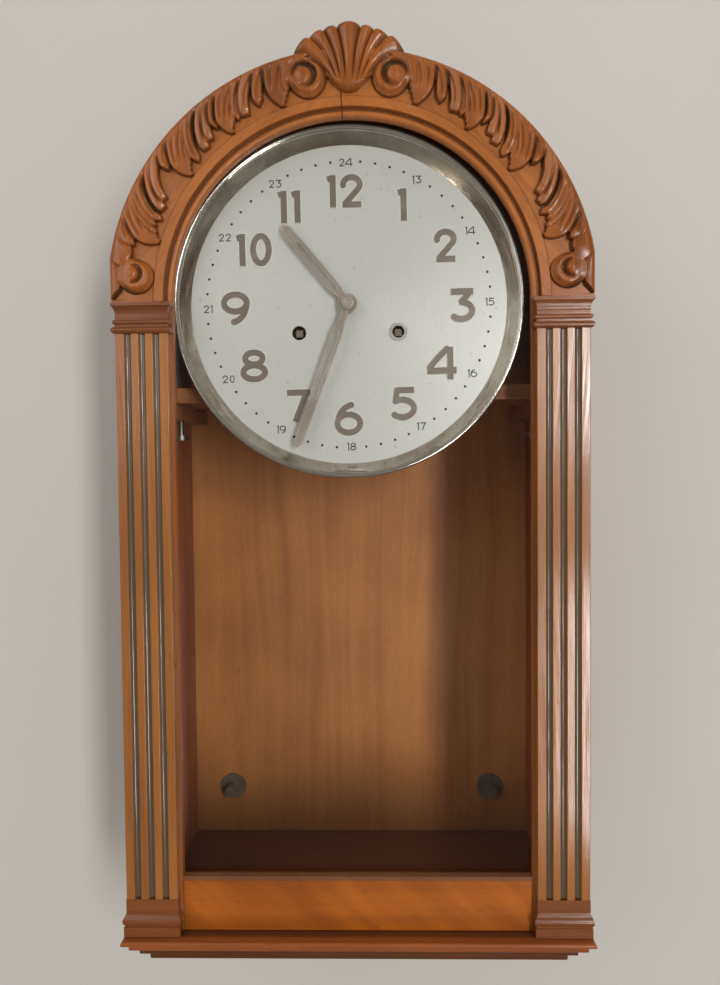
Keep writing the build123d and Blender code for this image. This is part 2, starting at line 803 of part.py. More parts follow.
# The hook is drawn hanging straight down, as it rests when the door is free.
notch_z = hook_z - hook_reach
with BuildPart() as door_hook:
    with BuildSketch(Plane.YZ.offset(hook_outer_x)):
        with Locations((hook_pivot_y, hook_z)):
            Circle(3.6)
        with Locations((hook_pivot_y, (hook_z + notch_z) / 2)):
            Rectangle(4.4, hook_reach)
        with Locations((hook_pivot_y, notch_z)):
            Circle(4.2)
            Circle(hook_pin_radius + hook_play, mode=Mode.SUBTRACT)
        with Locations((hook_pivot_y - 3, notch_z)):
            Rectangle(6, 2 * (hook_pin_radius + hook_play), mode=Mode.SUBTRACT)
        with Locations((hook_pivot_y, hook_z)):
            Circle(hook_pivot_radius + running_play, mode=Mode.SUBTRACT)
    extrude(amount=hook_thick)
keep("door_hook", door_hook)

# Dial

winding_spots = ((dial_x - winding_spread, winding_z), (dial_x + winding_spread, winding_z))
with BuildPart() as dial_plate:
    with BuildSketch(facing(dial_back_y)):
        with Locations((dial_x, dial_z)):
            Circle(dial_radius)
            Circle(dial_hole_radius, mode=Mode.SUBTRACT)
        with Locations(*winding_spots):
            Circle(winding_hole_radius, mode=Mode.SUBTRACT)
    extrude(amount=dial_thick)
keep("dial_plate", dial_plate)

rim_y = dial_y - bezel_high
rim_inner = bezel_radius - 3.2
with BuildPart() as dial_bezel:
    with BuildSketch(Plane((dial_x, 0, dial_z))):
        with BuildLine():
            Line((dial_showing, dial_y), (rim_inner, rim_y + 1.7))
            ThreePointArc((rim_inner, rim_y + 1.7), (bezel_radius - 1.5, rim_y), (bezel_radius, rim_y + 1.9))
            Polyline(
                (bezel_radius, rim_y + 1.9),
                (bezel_radius, dial_back_y),
                (bezel_radius - bezel_sheet, dial_back_y),
                (bezel_radius - bezel_sheet, rim_y + 2.1),
                (rim_inner + 0.9, rim_y + 2.1),
                (dial_showing + 1.4, dial_y),
                (dial_showing, dial_y),
            )
        make_face()
    revolve(axis=Axis((dial_x, 0, dial_z), (0, 1, 0)), revolution_arc=360)
keep("dial_bezel", dial_bezel)

with BuildPart() as winding_ferrule:
    turned(*winding_spots[1], ferrule_radius, dial_y - ferrule_rise, dial_y)
    turned(*winding_spots[1], winding_hole_radius, dial_y - ferrule_rise, dial_back_y)
    turned(*winding_spots[1], winding_hole_radius - 0.7, dial_y - ferrule_rise, dial_back_y, mode=Mode.SUBTRACT)
keep("winding_ferrule", winding_ferrule)

foot_spots = [(dial_x + x, plate_mid_z + z) for x in (-44.0, 44.0) for z in (-34.0, 38.0)]
with BuildPart() as dial_feet:
    for spot in foot_spots:
        turned(*spot, 2.4, dial_back_y, plate_front_y)
keep("dial_feet", dial_feet)

# Motion work and hands

cannon_bore = centre_arbor_radius + running_play
pipe_radius = cannon_bore + pipe_wall
hour_bore = pipe_radius + running_play
hour_pipe_radius = hour_bore + hour_pipe_wall
hour_hand_y = dial_y - 5.2
minute_hand_y = hour_hand_y - hand_thick - 1.7
pipe_end_y = minute_hand_y - hand_thick - hand_nut_thick / 2

centre = (dial_x, dial_z)
minute_post = (
    dial_x + motion_centres * cos(radians(motion_turn)),
    dial_z + motion_centres * sin(radians(motion_turn)),
)
cannon_radius = motion_centres * cannon_teeth / (cannon_teeth + minute_wheel_teeth)
minute_wheel_radius = motion_centres - cannon_radius
minute_pinion_radius = motion_centres * minute_pinion_teeth / (minute_pinion_teeth + hour_wheel_teeth)
hour_wheel_radius = motion_centres - minute_pinion_radius
to_post = bearing(centre, minute_post)
to_centre = bearing(minute_post, centre)

cannon_rear_y = plate_front_y - 1.0
cannon_front_y = cannon_rear_y - 3.6
minute_wheel_rear_y = cannon_rear_y - 1.0
minute_wheel_front_y = minute_wheel_rear_y - wheel_thick
hour_wheel_rear_y = minute_wheel_front_y - 4.6
hour_wheel_front_y = hour_wheel_rear_y - wheel_thick
minute_pinion_front_y = hour_wheel_front_y - 0.6

cannon_pinion = wheelwork(
    centre,
    [(tooth_points(cannon_teeth, cannon_radius), to_post, cannon_front_y, cannon_rear_y)],
    [(pipe_radius, pipe_end_y, cannon_rear_y)],
    bore=cannon_bore,
)
keep("cannon_pinion", cannon_pinion)

minute_wheel = wheelwork(
    minute_post,
    [
        (
            tooth_points(minute_wheel_teeth, minute_wheel_radius),
            to_centre + 180 / minute_wheel_teeth,
            minute_wheel_front_y,
            minute_wheel_rear_y,
        ),
        (tooth_points(minute_pinion_teeth, minute_pinion_radius), to_centre, minute_pinion_front_y, minute_wheel_front_y),
    ],
    [],
    bore=post_radius + running_play,
    windows=[(5, 3.0, 8.6, minute_wheel_front_y, minute_wheel_rear_y)],
)
keep("minute_wheel", minute_wheel)

with BuildPart() as minute_post_stud:
    turned(*minute_post, post_radius, minute_pinion_front_y - 1.2, plate_front_y)
    turned(*minute_post, 2 * post_radius, minute_wheel_rear_y + 0.3, plate_front_y)
keep("minute_wheel_stud", minute_post_stud)

hour_wheel = wheelwork(
    centre,
    [
        (
            tooth_points(hour_wheel_teeth, hour_wheel_radius),
            to_post + 180 / hour_wheel_teeth,
            hour_wheel_front_y,
            hour_wheel_rear_y,
        )
    ],
    [(hour_pipe_radius, hour_hand_y - hand_thick, hour_wheel_rear_y)],
    bore=hour_bore,
    windows=[(5, 3.2, 9.2, hour_wheel_front_y, hour_wheel_rear_y)],
)
keep("hour_wheel", hour_wheel)


def clock_hand(long, turn, rear_y, bore, wide, tip_wide, slot_to):
    """Straight hand with a pierced slot and a blunt point, turned clockwise from the top."""
    neck = 0.72 * wide
    slot_foot = hand_slot_from * long
    slot_top = slot_to * long
    shoulder = long - 0.62 * tip_wide
    half_slot = hand_slot_wide / 2
    with BuildPart() as made:
        with BuildSketch(facing(rear_y)):
            with Locations(Location((dial_x, dial_z, 0), (0, 0, 1), -turn)):
                Circle(hand_hub_radius)
                Polygon(
                    (-neck / 2, 0),
                    (neck / 2, 0),
                    (neck / 2, slot_foot - 4),
                    (wide / 2, slot_foot + 3),
                    (tip_wide / 2, shoulder),
                    (0.4, long),
                    (-0.4, long),
                    (-tip_wide / 2, shoulder),
                    (-wide / 2, slot_foot + 3),
                    (-neck / 2, slot_foot - 4),
                    align=None,
                )
                Polygon(
                    (0, slot_foot),
                    (half_slot, slot_foot + 3),
                    (0.85 * half_slot, slot_top - 3),
                    (0, slot_top),
                    (-0.85 * half_slot, slot_top - 3),
                    (-half_slot, slot_foot + 3),
                    align=None,
                    mode=Mode.SUBTRACT,
                )
                Circle(bore, mode=Mode.SUBTRACT)
        extrude(amount=hand_thick)
    return made


hour_hand = clock_hand(
    hour_hand_long,
    hour_hand_turn,
    hour_hand_y,
    hour_pipe_radius,
    hour_hand_wide,
    hour_tip_wide,
    hour_slot_to,
)
keep("hour_hand", hour_hand)

minute_hand = clock_hand(
    minute_hand_long,
    minute_hand_turn,
    minute_hand_y,
    pipe_radius,
    minute_hand_wide,
    minute_tip_wide,
    minute_slot_to,
)
keep("minute_hand", minute_hand)

nut_rear_y = minute_hand_y - hand_thick
with BuildPart() as hand_nut:
    turned(*centre, hand_nut_radius, nut_rear_y - hand_nut_thick, nut_rear_y)
    turned(*centre, pipe_radius, pipe_end_y, nut_rear_y, mode=Mode.SUBTRACT)
keep("hand_nut", hand_nut)

# Movement: the centres of both trains

time_barrel_spot = winding_spots[1]
strike_barrel_spot = winding_spots[0]
second_pinion_radius = great_radius * second_pinion_teeth / great_teeth
second_radius = centre_pinion_radius * second_teeth / centre_pinion_teeth
centre_radius = third_pinion_radius * centre_teeth / third_pinion_teeth
third_radius = escape_pinion_radius * third_teeth / escape_pinion_teeth
escape_spot = (dial_x, dial_z + escape_rise)
anchor_spot = (dial_x, dial_z + anchor_rise)
second_reach = centre_pinion_radius + second_radius
great_reach = great_radius + second_pinion_radius
second_spot = meeting_point(centre, second_reach, time_barrel_spot, great_reach)
third_spot = meeting_point(centre, centre_radius + third_pinion_radius, escape_spot, third_radius + escape_pinion_radius)

barrel_front_y = plate_inner_y + 4.0
barrel_rear_y = barrel_front_y + barrel_long
great_rear_y = barrel_rear_y + 3.0
second_wheel_front_y = great_rear_y + 2.0
second_wheel_rear_y = second_wheel_front_y + wheel_thick
centre_wheel_front_y = plate_inner_y + 20.0
third_wheel_front_y = plate_inner_y + 10.0
escape_wheel_front_y = plate_inner_y + 28.0
hammer_spot = (dial_x + hammer_x, dial_z + hammer_rise)

pivot_holes = [second_spot, third_spot, escape_spot]
pillar_spots = [
    (dial_x + x, plate_mid_z + z)
    for x in (-pillar_spread, pillar_spread)
    for z in (pillar_margin - plate_high / 2, plate_high / 2 - pillar_margin)
]


def movement_plate(front_y, centre_hole, anchor_hole, hammer_hole):
    """Brass plate with holes for every arbor that turns in it."""
    with BuildPart() as plate:
        with BuildSketch(facing(front_y + plate_thick)):
            with Locations((dial_x, plate_mid_z)):
                RectangleRounded(plate_wide, plate_high, 6)
            with Locations(*winding_spots):
                Circle(winding_arbor_radius + running_play, mode=Mode.SUBTRACT)
            with Locations(*pivot_holes):
                Circle(pivot_radius + running_play, mode=Mode.SUBTRACT)
            with Locations(centre):
                Circle(centre_hole, mode=Mode.SUBTRACT)
            with Locations(anchor_spot):
                Circle(anchor_hole, mode=Mode.SUBTRACT)
            with Locations(hammer_spot):
                Circle(hammer_hole, mode=Mode.SUBTRACT)
        extrude(amount=plate_thick)
    return plate


front_plate = movement_plate(
    plate_front_y,
    centre_arbor_radius + running_play,
    pivot_radius + running_play,
    arbor_radius + running_play,
)
keep("movement_front_plate", front_plate)

back_plate = movement_plate(
    back_plate_y,
    pivot_radius + running_play,
    arbor_radius + running_play,
    arbor_radius + running_play,
)
keep("movement_back_plate", back_plate)

with BuildPart() as movement_pillars:
    for spot in pillar_spots:
        turned(*spot, pillar_radius, plate_inner_y, back_plate_y)
keep("movement_pillars", movement_pillars)

for name, spot, turn in (
    ("time_barrel", time_barrel_spot, bearing(time_barrel_spot, second_spot)),
    ("strike_barrel", strike_barrel_spot, 0.0),
):
    barrel = wheelwork(
        spot,
        [(tooth_points(great_teeth, great_radius), turn, barrel_rear_y, great_rear_y)],
        [(barrel_radius, barrel_front_y, barrel_rear_y)],
        bore=winding_arbor_radius + running_play,
    )
    with BuildPart() as hollow_barrel:
        add(barrel.part)
        inside = barrel_radius - barrel_wall
        turned(*spot, inside, barrel_front_y + barrel_wall, barrel_rear_y - barrel_wall, mode=Mode.SUBTRACT)
    keep(name, hollow_barrel)

square_front_y = dial_back_y + winding_end_gap
for name, spot in (("time_winding_arbor", time_barrel_spot), ("strike_winding_arbor", strike_barrel_spot)):
    with BuildPart() as winding_arbor:
        turned(*spot, winding_arbor_radius, plate_front_y - 3.0, back_plate_rear_y + 1.0)
        half = winding_square / 2
        block(spot[0] - half, spot[0] + half, square_front_y, plate_front_y - 3.0, spot[1] - half, spot[1] + half)
        turned(*spot, winding_arbor_radius + 1.5, plate_inner_y + 0.5, barrel_front_y - 0.4)
        turned(*spot, winding_arbor_radius + 1.5, great_rear_y + 0.4, back_plate_y - 0.5)
    keep(name, winding_arbor)

second_wheel = wheelwork(
    second_spot,
    [
        (
            tooth_points(second_pinion_teeth, second_pinion_radius),
            bearing(second_spot, time_barrel_spot) + 180 / second_pinion_teeth,
            barrel_rear_y - 0.6,
            great_rear_y + 0.6,
        ),
        (
            tooth_points(second_teeth, second_radius),
            bearing(second_spot, centre),
            second_wheel_front_y,
            second_wheel_rear_y,
        ),
    ],
    [
        (pivot_radius, plate_front_y, back_plate_rear_y),
        (arbor_radius, plate_inner_y + 0.5, back_plate_y - 0.5),
    ],
    windows=[(5, 3.9, 11.5, second_wheel_front_y, second_wheel_rear_y)],
)
keep("second_wheel", second_wheel)

centre_wheel = wheelwork(
    centre,
    [
        (
            tooth_points(centre_pinion_teeth, centre_pinion_radius),
            bearing(centre, second_spot) + 180 / centre_pinion_teeth,
            second_wheel_front_y - 0.8,
            second_wheel_rear_y + 0.8,
        ),
        (
            tooth_points(centre_teeth, centre_radius),
            bearing(centre, third_spot),
            centre_wheel_front_y,
            centre_wheel_front_y + wheel_thick,
        ),
    ],
    [
        (centre_arbor_radius, pipe_end_y + 2.0, back_plate_y - 0.5),
        (pivot_radius, back_plate_y - 0.5, back_plate_rear_y),
        (centre_arbor_radius + 1.0, plate_inner_y + 0.5, centre_wheel_front_y),
    ],
    windows=[(5, 3.2, 9.0, centre_wheel_front_y, centre_wheel_front_y + wheel_thick)],
)
keep("centre_wheel", centre_wheel)

third_wheel = wheelwork(
    third_spot,
    [
        (
            tooth_points(third_pinion_teeth, third_pinion_radius),
            bearing(third_spot, centre) + 180 / third_pinion_teeth,
            centre_wheel_front_y - 0.8,
            centre_wheel_front_y + wheel_thick + 0.8,
        ),
        (
            tooth_points(third_teeth, third_radius),
            bearing(third_spot, escape_spot),
            third_wheel_front_y,
            third_wheel_front_y + wheel_thick,
        ),
    ],
    [(pivot_radius, plate_front_y, back_plate_rear_y)],
    windows=[(5, 2.8, 7.6, third_wheel_front_y, third_wheel_front_y + wheel_thick)],
)
keep("third_wheel", third_wheel)

escape_wheel = wheelwork(
    escape_spot,
    [
        (
            tooth_points(escape_pinion_teeth, escape_pinion_radius),
            bearing(escape_spot, third_spot) + 180 / escape_pinion_teeth,
            third_wheel_front_y - 0.8,
            third_wheel_front_y + wheel_thick + 0.8,
        ),
        (
            ratchet_points(escape_teeth, escape_radius, 0.84 * escape_radius),
            0.0,
            escape_wheel_front_y,
            escape_wheel_front_y + wheel_thick,
        ),
    ],
    [(pivot_radius, plate_front_y, back_plate_rear_y)],
    windows=[(5, 2.4, 6.0, escape_wheel_front_y, escape_wheel_front_y + wheel_thick)],
)
keep("escape_wheel", escape_wheel)

# Anchor, suspension and pendulum leader

crutch_y = back_plate_rear_y + 6.0
pallet_inner = escape_radius + 1.0
with BuildPart() as anchor_crutch:
    with BuildSketch(facing(escape_wheel_front_y + wheel_thick)):
        with Locations(escape_spot):
            Circle(pallet_inner + 2.2)
            Circle(pallet_inner, mode=Mode.SUBTRACT)
        with Locations((dial_x, escape_spot[1] + 0.6 * pallet_inner - 2 * escape_radius)):
            Rectangle(4 * escape_radius, 4 * escape_radius, mode=Mode.SUBTRACT)
        with Locations((dial_x, (anchor_spot[1] + escape_spot[1] + pallet_inner) / 2)):
            Rectangle(4.4, anchor_spot[1] - escape_spot[1] - pallet_inner)
        with Locations(anchor_spot):
            Circle(2.8)
    extrude(amount=wheel_thick)
    turned(*anchor_spot, pivot_radius, plate_front_y, escape_wheel_front_y)
    turned(*anchor_spot, arbor_radius, plate_inner_y + 0.5, crutch_y)
    with Locations((dial_x, crutch_y, anchor_spot[1] - crutch_drop / 2)):
        Cylinder(crutch_radius, crutch_drop)
    turned(*anchor_spot, 2.6, crutch_y - 1.6, crutch_y + 1.6)
    turned(dial_x, anchor_spot[1] - crutch_drop, crutch_radius, crutch_y, leader_y + leader_thick)
keep("anchor_crutch", anchor_crutch)

cock_top_z = anchor_spot[1] + 6.5
cock_foot_z = cock_top_z - cock_high
cock_from_x = dial_x - cock_wide / 2
cock_to_x = dial_x + cock_wide / 2
with BuildPart() as suspension_cock:
    block(cock_from_x, cock_to_x, back_plate_rear_y, back_plate_rear_y + 1.8, cock_foot_z, cock_top_z)
    block(cock_from_x, cock_to_x, back_plate_rear_y, leader_y + 4.0, cock_top_z - 3.0, cock_top_z)
    block(dial_x - 4.0, dial_x + 4.0, leader_y - 4.0, leader_y + 4.0, anchor_spot[1] + 0.6, cock_top_z - 3.0)
    turned(*anchor_spot, arbor_radius + 0.6, back_plate_rear_y, back_plate_rear_y + 2.0, mode=Mode.SUBTRACT)
keep("suspension_cock", suspension_cock)

leader_top_z = anchor_spot[1] - 9.0
leader_foot_z = leader_top_z - leader_long
leader_from_x = dial_x - leader_wide / 2
leader_to_x = dial_x + leader_wide / 2
spring_from_x = dial_x - suspension_thick / 2
spring_to_x = dial_x + suspension_thick / 2
leader_front_y = leader_y - leader_thick / 2
spring_front_y = leader_y - suspension_wide / 2
with BuildPart() as pendulum_leader:
    block(leader_from_x, leader_to_x, leader_front_y, leader_front_y + leader_thick, leader_foot_z, leader_top_z)
    block(spring_from_x, spring_to_x, spring_front_y, spring_front_y + suspension_wide, leader_top_z, anchor_spot[1] + 0.3)
    with BuildSketch(facing(0)):
        with Locations((dial_x, anchor_spot[1] - crutch_drop)):
            SlotOverall(9.0, 2 * crutch_radius + 0.8, rotation=90)
    extrude(amount=case_depth, mode=Mode.SUBTRACT)
    block(leader_from_x, leader_to_x, leader_y, leader_y + 5.0, leader_foot_z, leader_foot_z + 1.6)
    block(leader_from_x, leader_to_x, leader_y + 3.4, leader_y + 5.0, leader_foot_z, leader_foot_z + 6.0)
keep("pendulum_leader", pendulum_leader)

# Gong and hammer

gong_mid_x = dial_x + gong_x
gong_z = dial_z + gong_rise
with BuildPart() as gong_block:
    block(gong_mid_x - 11, gong_mid_x + 11, min(gong_rod_ys) - 6, back_y, gong_z, gong_z + 18)
    for rod_y in gong_rod_ys:
        with Locations((gong_mid_x, rod_y, gong_z + 5)):
            Cylinder(gong_rod_radius, 10, mode=Mode.SUBTRACT)
keep("gong_block", gong_block)

with BuildPart() as gong_rods:
    for rod_y in gong_rod_ys:
        with Locations((gong_mid_x, rod_y, gong_z + 10 - gong_rod_long / 2)):
            Cylinder(gong_rod_radius, gong_rod_long)
keep("gong_rods", gong_rods)

head_to_x = gong_mid_x - gong_rod_radius - hammer_rest_gap
head_mid_x = head_to_x - hammer_head_long / 2
head_z = dial_z + hammer_head_rise
head_y = (gong_rod_ys[0] + gong_rod_ys[1]) / 2
stem_long = hypot(head_mid_x - hammer_spot[0], head_z - hammer_spot[1])
stem_lean = degrees(atan2(head_mid_x - hammer_spot[0], head_z - hammer_spot[1]))
with BuildPart() as hammer:
    turned(*hammer_spot, arbor_radius, plate_front_y, head_y + 1.5)
    turned(*hammer_spot, 2.8, head_y - 3.0, head_y + 3.0)
    stem_spot = ((hammer_spot[0] + head_mid_x) / 2, head_y, (hammer_spot[1] + head_z) / 2)
    with Locations(Location(stem_spot, (0, stem_lean, 0))):
        Cylinder(hammer_stem_radius, stem_long)
    block(head_to_x - hammer_head_long, head_to_x, head_y - 9, head_y + 9, head_z - 4.5, head_z + 4.5)
keep("hammer", hammer)
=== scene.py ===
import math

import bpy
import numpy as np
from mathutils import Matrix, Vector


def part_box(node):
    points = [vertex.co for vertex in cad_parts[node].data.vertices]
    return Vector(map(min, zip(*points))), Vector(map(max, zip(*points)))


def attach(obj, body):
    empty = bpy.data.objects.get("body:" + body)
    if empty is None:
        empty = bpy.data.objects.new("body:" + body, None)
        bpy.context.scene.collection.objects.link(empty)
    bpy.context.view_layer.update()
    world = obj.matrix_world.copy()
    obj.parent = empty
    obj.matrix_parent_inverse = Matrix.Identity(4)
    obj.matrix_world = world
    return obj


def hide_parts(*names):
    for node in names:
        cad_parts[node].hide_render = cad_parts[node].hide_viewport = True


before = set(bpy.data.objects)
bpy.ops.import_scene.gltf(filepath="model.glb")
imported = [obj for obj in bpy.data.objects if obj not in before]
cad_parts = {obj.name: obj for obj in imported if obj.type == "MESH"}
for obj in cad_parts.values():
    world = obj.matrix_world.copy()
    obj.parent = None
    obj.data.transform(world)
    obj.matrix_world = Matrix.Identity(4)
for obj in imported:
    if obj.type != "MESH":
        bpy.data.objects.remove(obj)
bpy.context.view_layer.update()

# Looks of an arched wall clock: the carving on the door, the rounded flutes, the figures on the dial, the borders of
# the hands and the bead of the bezel, and a finish for every surface. Shapes are in millimetres, in the frame of the
# CAD part: +Z up, the front towards -Y, the wall at Y = 0. Meshes are written in metres.

MM = 0.001
DIAL = -112.0  # height of the dial centre and of the springing of the arch
DIAL_X = -2.5  # the dial stands a little left of the middle of the door
FIELD = -144.0  # depth of the ground that the carving stands on
FACE = -150.0  # depth of the pilaster faces
PILASTER = 133.25  # distance of the middle of each pilaster from the middle of the door
FLUTE_STEP = 9.1  # from one flute to the next
RAIL_END = 113.5  # distance of the ends of the bottom rail from the middle of the door
FLOOR = -523.5  # height of the case floor
DIAL_FACE = -124.9  # depth of the face of the dial plate
DIAL_TURN = 0.7  # degrees that the dial plate stands turned to the left
ARCH = 154.0  # outer radius of the arch
RIM = 156.3  # outer radius of the carved moulding
GROOVE = 119.3  # radius of the groove beside the edge bead
BAND_EDGE = 126.7  # radius at which the plain band ends
SEAM_LEAN = 2.35  # degrees that the seam at the top of the arch leans to the left


# ---------------------------------------------------------------- surfaces


def smooth(low, high, value):
    """Smooth step: 0 below low, 1 above high, 3t^2 - 2t^3 between them."""
    t = np.clip((value - low) / (high - low), 0, 1)
    return t * t * (3 - 2 * t)


def skin(rings, hollow=0.0, loop=False):
    """Closed skin over sections: point j of each section joins point j of the next.

    rings is (n, m, 3). The two ends are closed by fans to their middles, or the last section joins the
    first. Faces are turned round where the enclosed volume, the sum of a . (b x c) / 6, comes out negative.
    hollow is kept for each point: how deep it lies in the carving, which sets the painted shade there, with a painted
    sheen below zero.
    """
    n, m = rings.shape[:2]
    at = np.arange(n * m).reshape(n, m)
    low, high = (at, np.roll(at, -1, axis=0)) if loop else (at[:-1], at[1:])
    quads = np.stack([low, np.roll(low, -1, axis=1), np.roll(high, -1, axis=1), high], axis=-1).reshape(-1, 4)
    points = rings.reshape(-1, 3)
    hollow = np.broadcast_to(hollow, (n, m)).reshape(-1)
    fans = np.zeros((0, 3), int)
    if not loop:
        points = np.concatenate([points, rings[[0, -1]].mean(axis=1)])
        hollow = np.concatenate([hollow, hollow[[0, -1]]])
        first = np.stack([np.full(m, n * m), np.roll(at[0], -1), at[0]], axis=-1)
        last = np.stack([np.full(m, n * m + 1), at[-1], np.roll(at[-1], -1)], axis=-1)
        fans = np.concatenate([first, last])
    threes = np.concatenate([quads[:, [0, 1, 2]], quads[:, [0, 2, 3]], fans])
    a, b, c = points[threes[:, 0]], points[threes[:, 1]], points[threes[:, 2]]
    if np.einsum("ij,ij->", a - points.mean(axis=0), np.cross(b - points.mean(axis=0), c - points.mean(axis=0))) < 0:
        quads, fans = quads[:, ::-1], fans[:, ::-1]
    return points, quads, fans, hollow


def raised(path, across, heights, ground, foot=0.4, loop=False):
    """Sections of a ribbon that stands on a plane facing the front.

    path is (n, 2) in X and Z about the dial centre, across (n, k) how far each point lies to the left of the
    path, and heights (n, k) how far it stands in front of ground. The section closes along a flat back, foot
    behind the ground. Where the path turns, the section is mitred: it lies on the middle line of the turn and
    is longer by one over the cosine of half the turn.
    """
    path = np.asarray(path, float)
    before, after = np.roll(path, 1, axis=0), np.roll(path, -1, axis=0)
    if not loop:
        before[0] = 2 * path[0] - path[1]
        after[-1] = 2 * path[-1] - path[-2]
    into = (path - before) / np.linalg.norm(path - before, axis=1, keepdims=True)
    out = (after - path) / np.linalg.norm(after - path, axis=1, keepdims=True)
    along = (into + out) / np.linalg.norm(into + out, axis=1, keepdims=True)
    mitre = 1 / np.clip((along * into).sum(axis=1), 0.4, 1)
    across = np.broadcast_to(across, (len(path), np.shape(across)[-1])) * mitre[:, None]
    heights = np.broadcast_to(heights, across.shape)
    x = path[:, :1] - along[:, 1:] * across
    z = path[:, 1:] + along[:, :1] * across + DIAL
    top = np.stack([x, ground - heights, z], axis=-1)
    back = top[:, [-1, 0]].copy()
    back[..., 1] = ground + foot
    return np.concatenate([top, back], axis=1)


def turned(centre, radii, depths, around=48):
    """Sections of a turned shape about an axis through centre (X, Z) that points to the front: circles of the
    given radii at the given depths."""
    turn = np.linspace(0, 2 * np.pi, around, endpoint=False)
    radii, depths = np.asarray(radii, float)[:, None], np.asarray(depths, float)[:, None]
    x = centre[0] + radii * np.cos(turn)
    z = centre[1] + radii * np.sin(turn) + DIAL
    return np.stack([x, depths + 0 * x, z], axis=-1)


def piece(name, shells, body, finish, stands_for=(), sharp=38.0):
    """One mesh object from closed skins, riding a body. Edges sharper than the given angle stay crisp."""
    offsets = np.cumsum([0] + [len(shell[0]) for shell in shells])[:-1]
    points = np.concatenate([shell[0] for shell in shells]) * MM
    quads = np.concatenate([shell[1] + start for shell, start in zip(shells, offsets)])
    fans = np.concatenate([shell[2] + start for shell, start in zip(shells, offsets)])
    hollow = np.concatenate([shell[3] for shell in shells])
    mesh = bpy.data.meshes.new(name)
    mesh.vertices.add(len(points))
    mesh.vertices.foreach_set("co", points.astype(np.float32).ravel())
    mesh.loops.add(quads.size + fans.size)
    mesh.loops.foreach_set("vertex_index", np.concatenate([quads.ravel(), fans.ravel()]).astype(np.int32))
    starts = np.concatenate([np.arange(len(quads)) * 4, quads.size + np.arange(len(fans)) * 3])
    mesh.polygons.add(len(starts))
    mesh.polygons.foreach_set("loop_start", starts.astype(np.int32))
    mesh.update(calc_edges=True)
    kept = mesh.attributes.new("hollow", "FLOAT", "POINT")
    kept.data.foreach_set("value", hollow.astype(np.float32))
    mesh.validate()
    mesh.polygons.foreach_set("use_smooth", np.ones(len(mesh.polygons), bool))
    mesh.set_sharp_from_angle(angle=math.radians(sharp))
    made = bpy.data.objects.new(name, mesh)
    bpy.context.scene.collection.objects.link(made)
    mesh.materials.append(finish)
    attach(made, body)
    if stands_for:
        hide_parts(*stands_for)
    return made


# ---------------------------------------------------------------- finishes


def colour(red, green, blue):
    """A colour given as it looks on a screen, 0 to 255, as linear light."""
    share = np.array([red, green, blue]) / 255
    light = np.where(share <= 0.04045, share / 12.92, ((share + 0.055) / 1.055) ** 2.4)
    return tuple(float(part) for part in light)


class Tone:
    """A socket in a finish. Arithmetic with it adds Math nodes, and node() adds a node of any other type."""

    def __init__(self, tree, socket):
        self.tree = tree
        self.socket = socket

    def node(self, kind, settings=None, inputs=None, out=0):
        made = self.tree.nodes.new("ShaderNode" + kind)
        for key, value in (settings or {}).items():
            setattr(made, key, value)
        for key, value in (inputs or {}).items():
            self.feed(made.inputs[key], value)
        return Tone(self.tree, made.outputs[out])

    def feed(self, socket, value):
        if isinstance(value, Tone):
            self.tree.links.new(value.socket, socket)
        elif isinstance(value, tuple) and len(value) == 3 and socket.type == "RGBA":
            socket.default_value = (*value, 1)
        else:
            socket.default_value = value

    def math(self, operation, first, second=0.0):
        return self.node("Math", {"operation": operation}, {0: first, 1: second})

    def __add__(self, other):
        return self.math("ADD", self, other)

    __radd__ = __add__

    def __sub__(self, other):
        return self.math("SUBTRACT", self, other)

    def __rsub__(self, other):
        return self.math("SUBTRACT", other, self)

    def __mul__(self, other):
        return self.math("MULTIPLY", self, other)

    __rmul__ = __mul__

    def __pow__(self, other):
        return self.math("POWER", self, other)

    def size(self):
        return self.math("ABSOLUTE", self)

    def larger(self, other):
        return self.math("MAXIMUM", self, other)

    def step(self, low, high):
        """0 below low and 1 above high, or the other way round, smooth between."""
        return self.node("MapRange", {"interpolation_type": "SMOOTHSTEP"}, {0: self, 1: low, 2: high})

    def blend(self, first, second):
        """A colour that goes from first to second as this value goes from 0 to 1."""
        return self.node("Mix", {"data_type": "RGBA"}, {0: self, 6: first, 7: second}, out=2)

    def stretch(self, *shares):
        """This place with its three parts multiplied, so that a pattern on it is drawn out."""
        return self.node("VectorMath", {"operation": "MULTIPLY"}, {0: self, 1: shares})

    def noise(self, scale, detail=2.0, rough=0.5):
        return self.node("TexNoise", {}, {"Vector": self, "Scale": scale, "Detail": detail, "Roughness": rough})

    def part(self, axis):
        return self.node("SeparateXYZ", {}, {0: self}, out=axis)

    def bump(self, height, strength, distance=0.001):
        return self.node("Bump", {}, {"Strength": strength, "Distance": distance, "Height": height})


def finish(name, paint, **fixed):
    """A finish: paint(place) gets the Object coordinates and returns what varies, by socket. The rest is fixed."""
    made = bpy.data.materials.new(name)
    made.use_nodes = True
    shader = made.node_tree.nodes["Principled BSDF"]
    for socket, value in fixed.items():
        shader.inputs[socket.replace("_", " ")].default_value = value
    place = Tone(made.node_tree, made.node_tree.nodes.new("ShaderNodeTexCoord").outputs["Object"])
    for socket, value in paint(place).items():
        place.feed(shader.inputs[socket], value)
    return made


def straight_fibres(place, slope):
    """Wood coordinates: along the fibres, which climb from X towards Z by slope degrees, across them, and depth."""
    x, z = place.part(0), place.part(2)
    rise, run = math.sin(math.radians(slope)), math.cos(math.radians(slope))
    return place.node("CombineXYZ", {}, {0: x * run + z * rise, 1: z * run - x * rise, 2: place.part(1)})


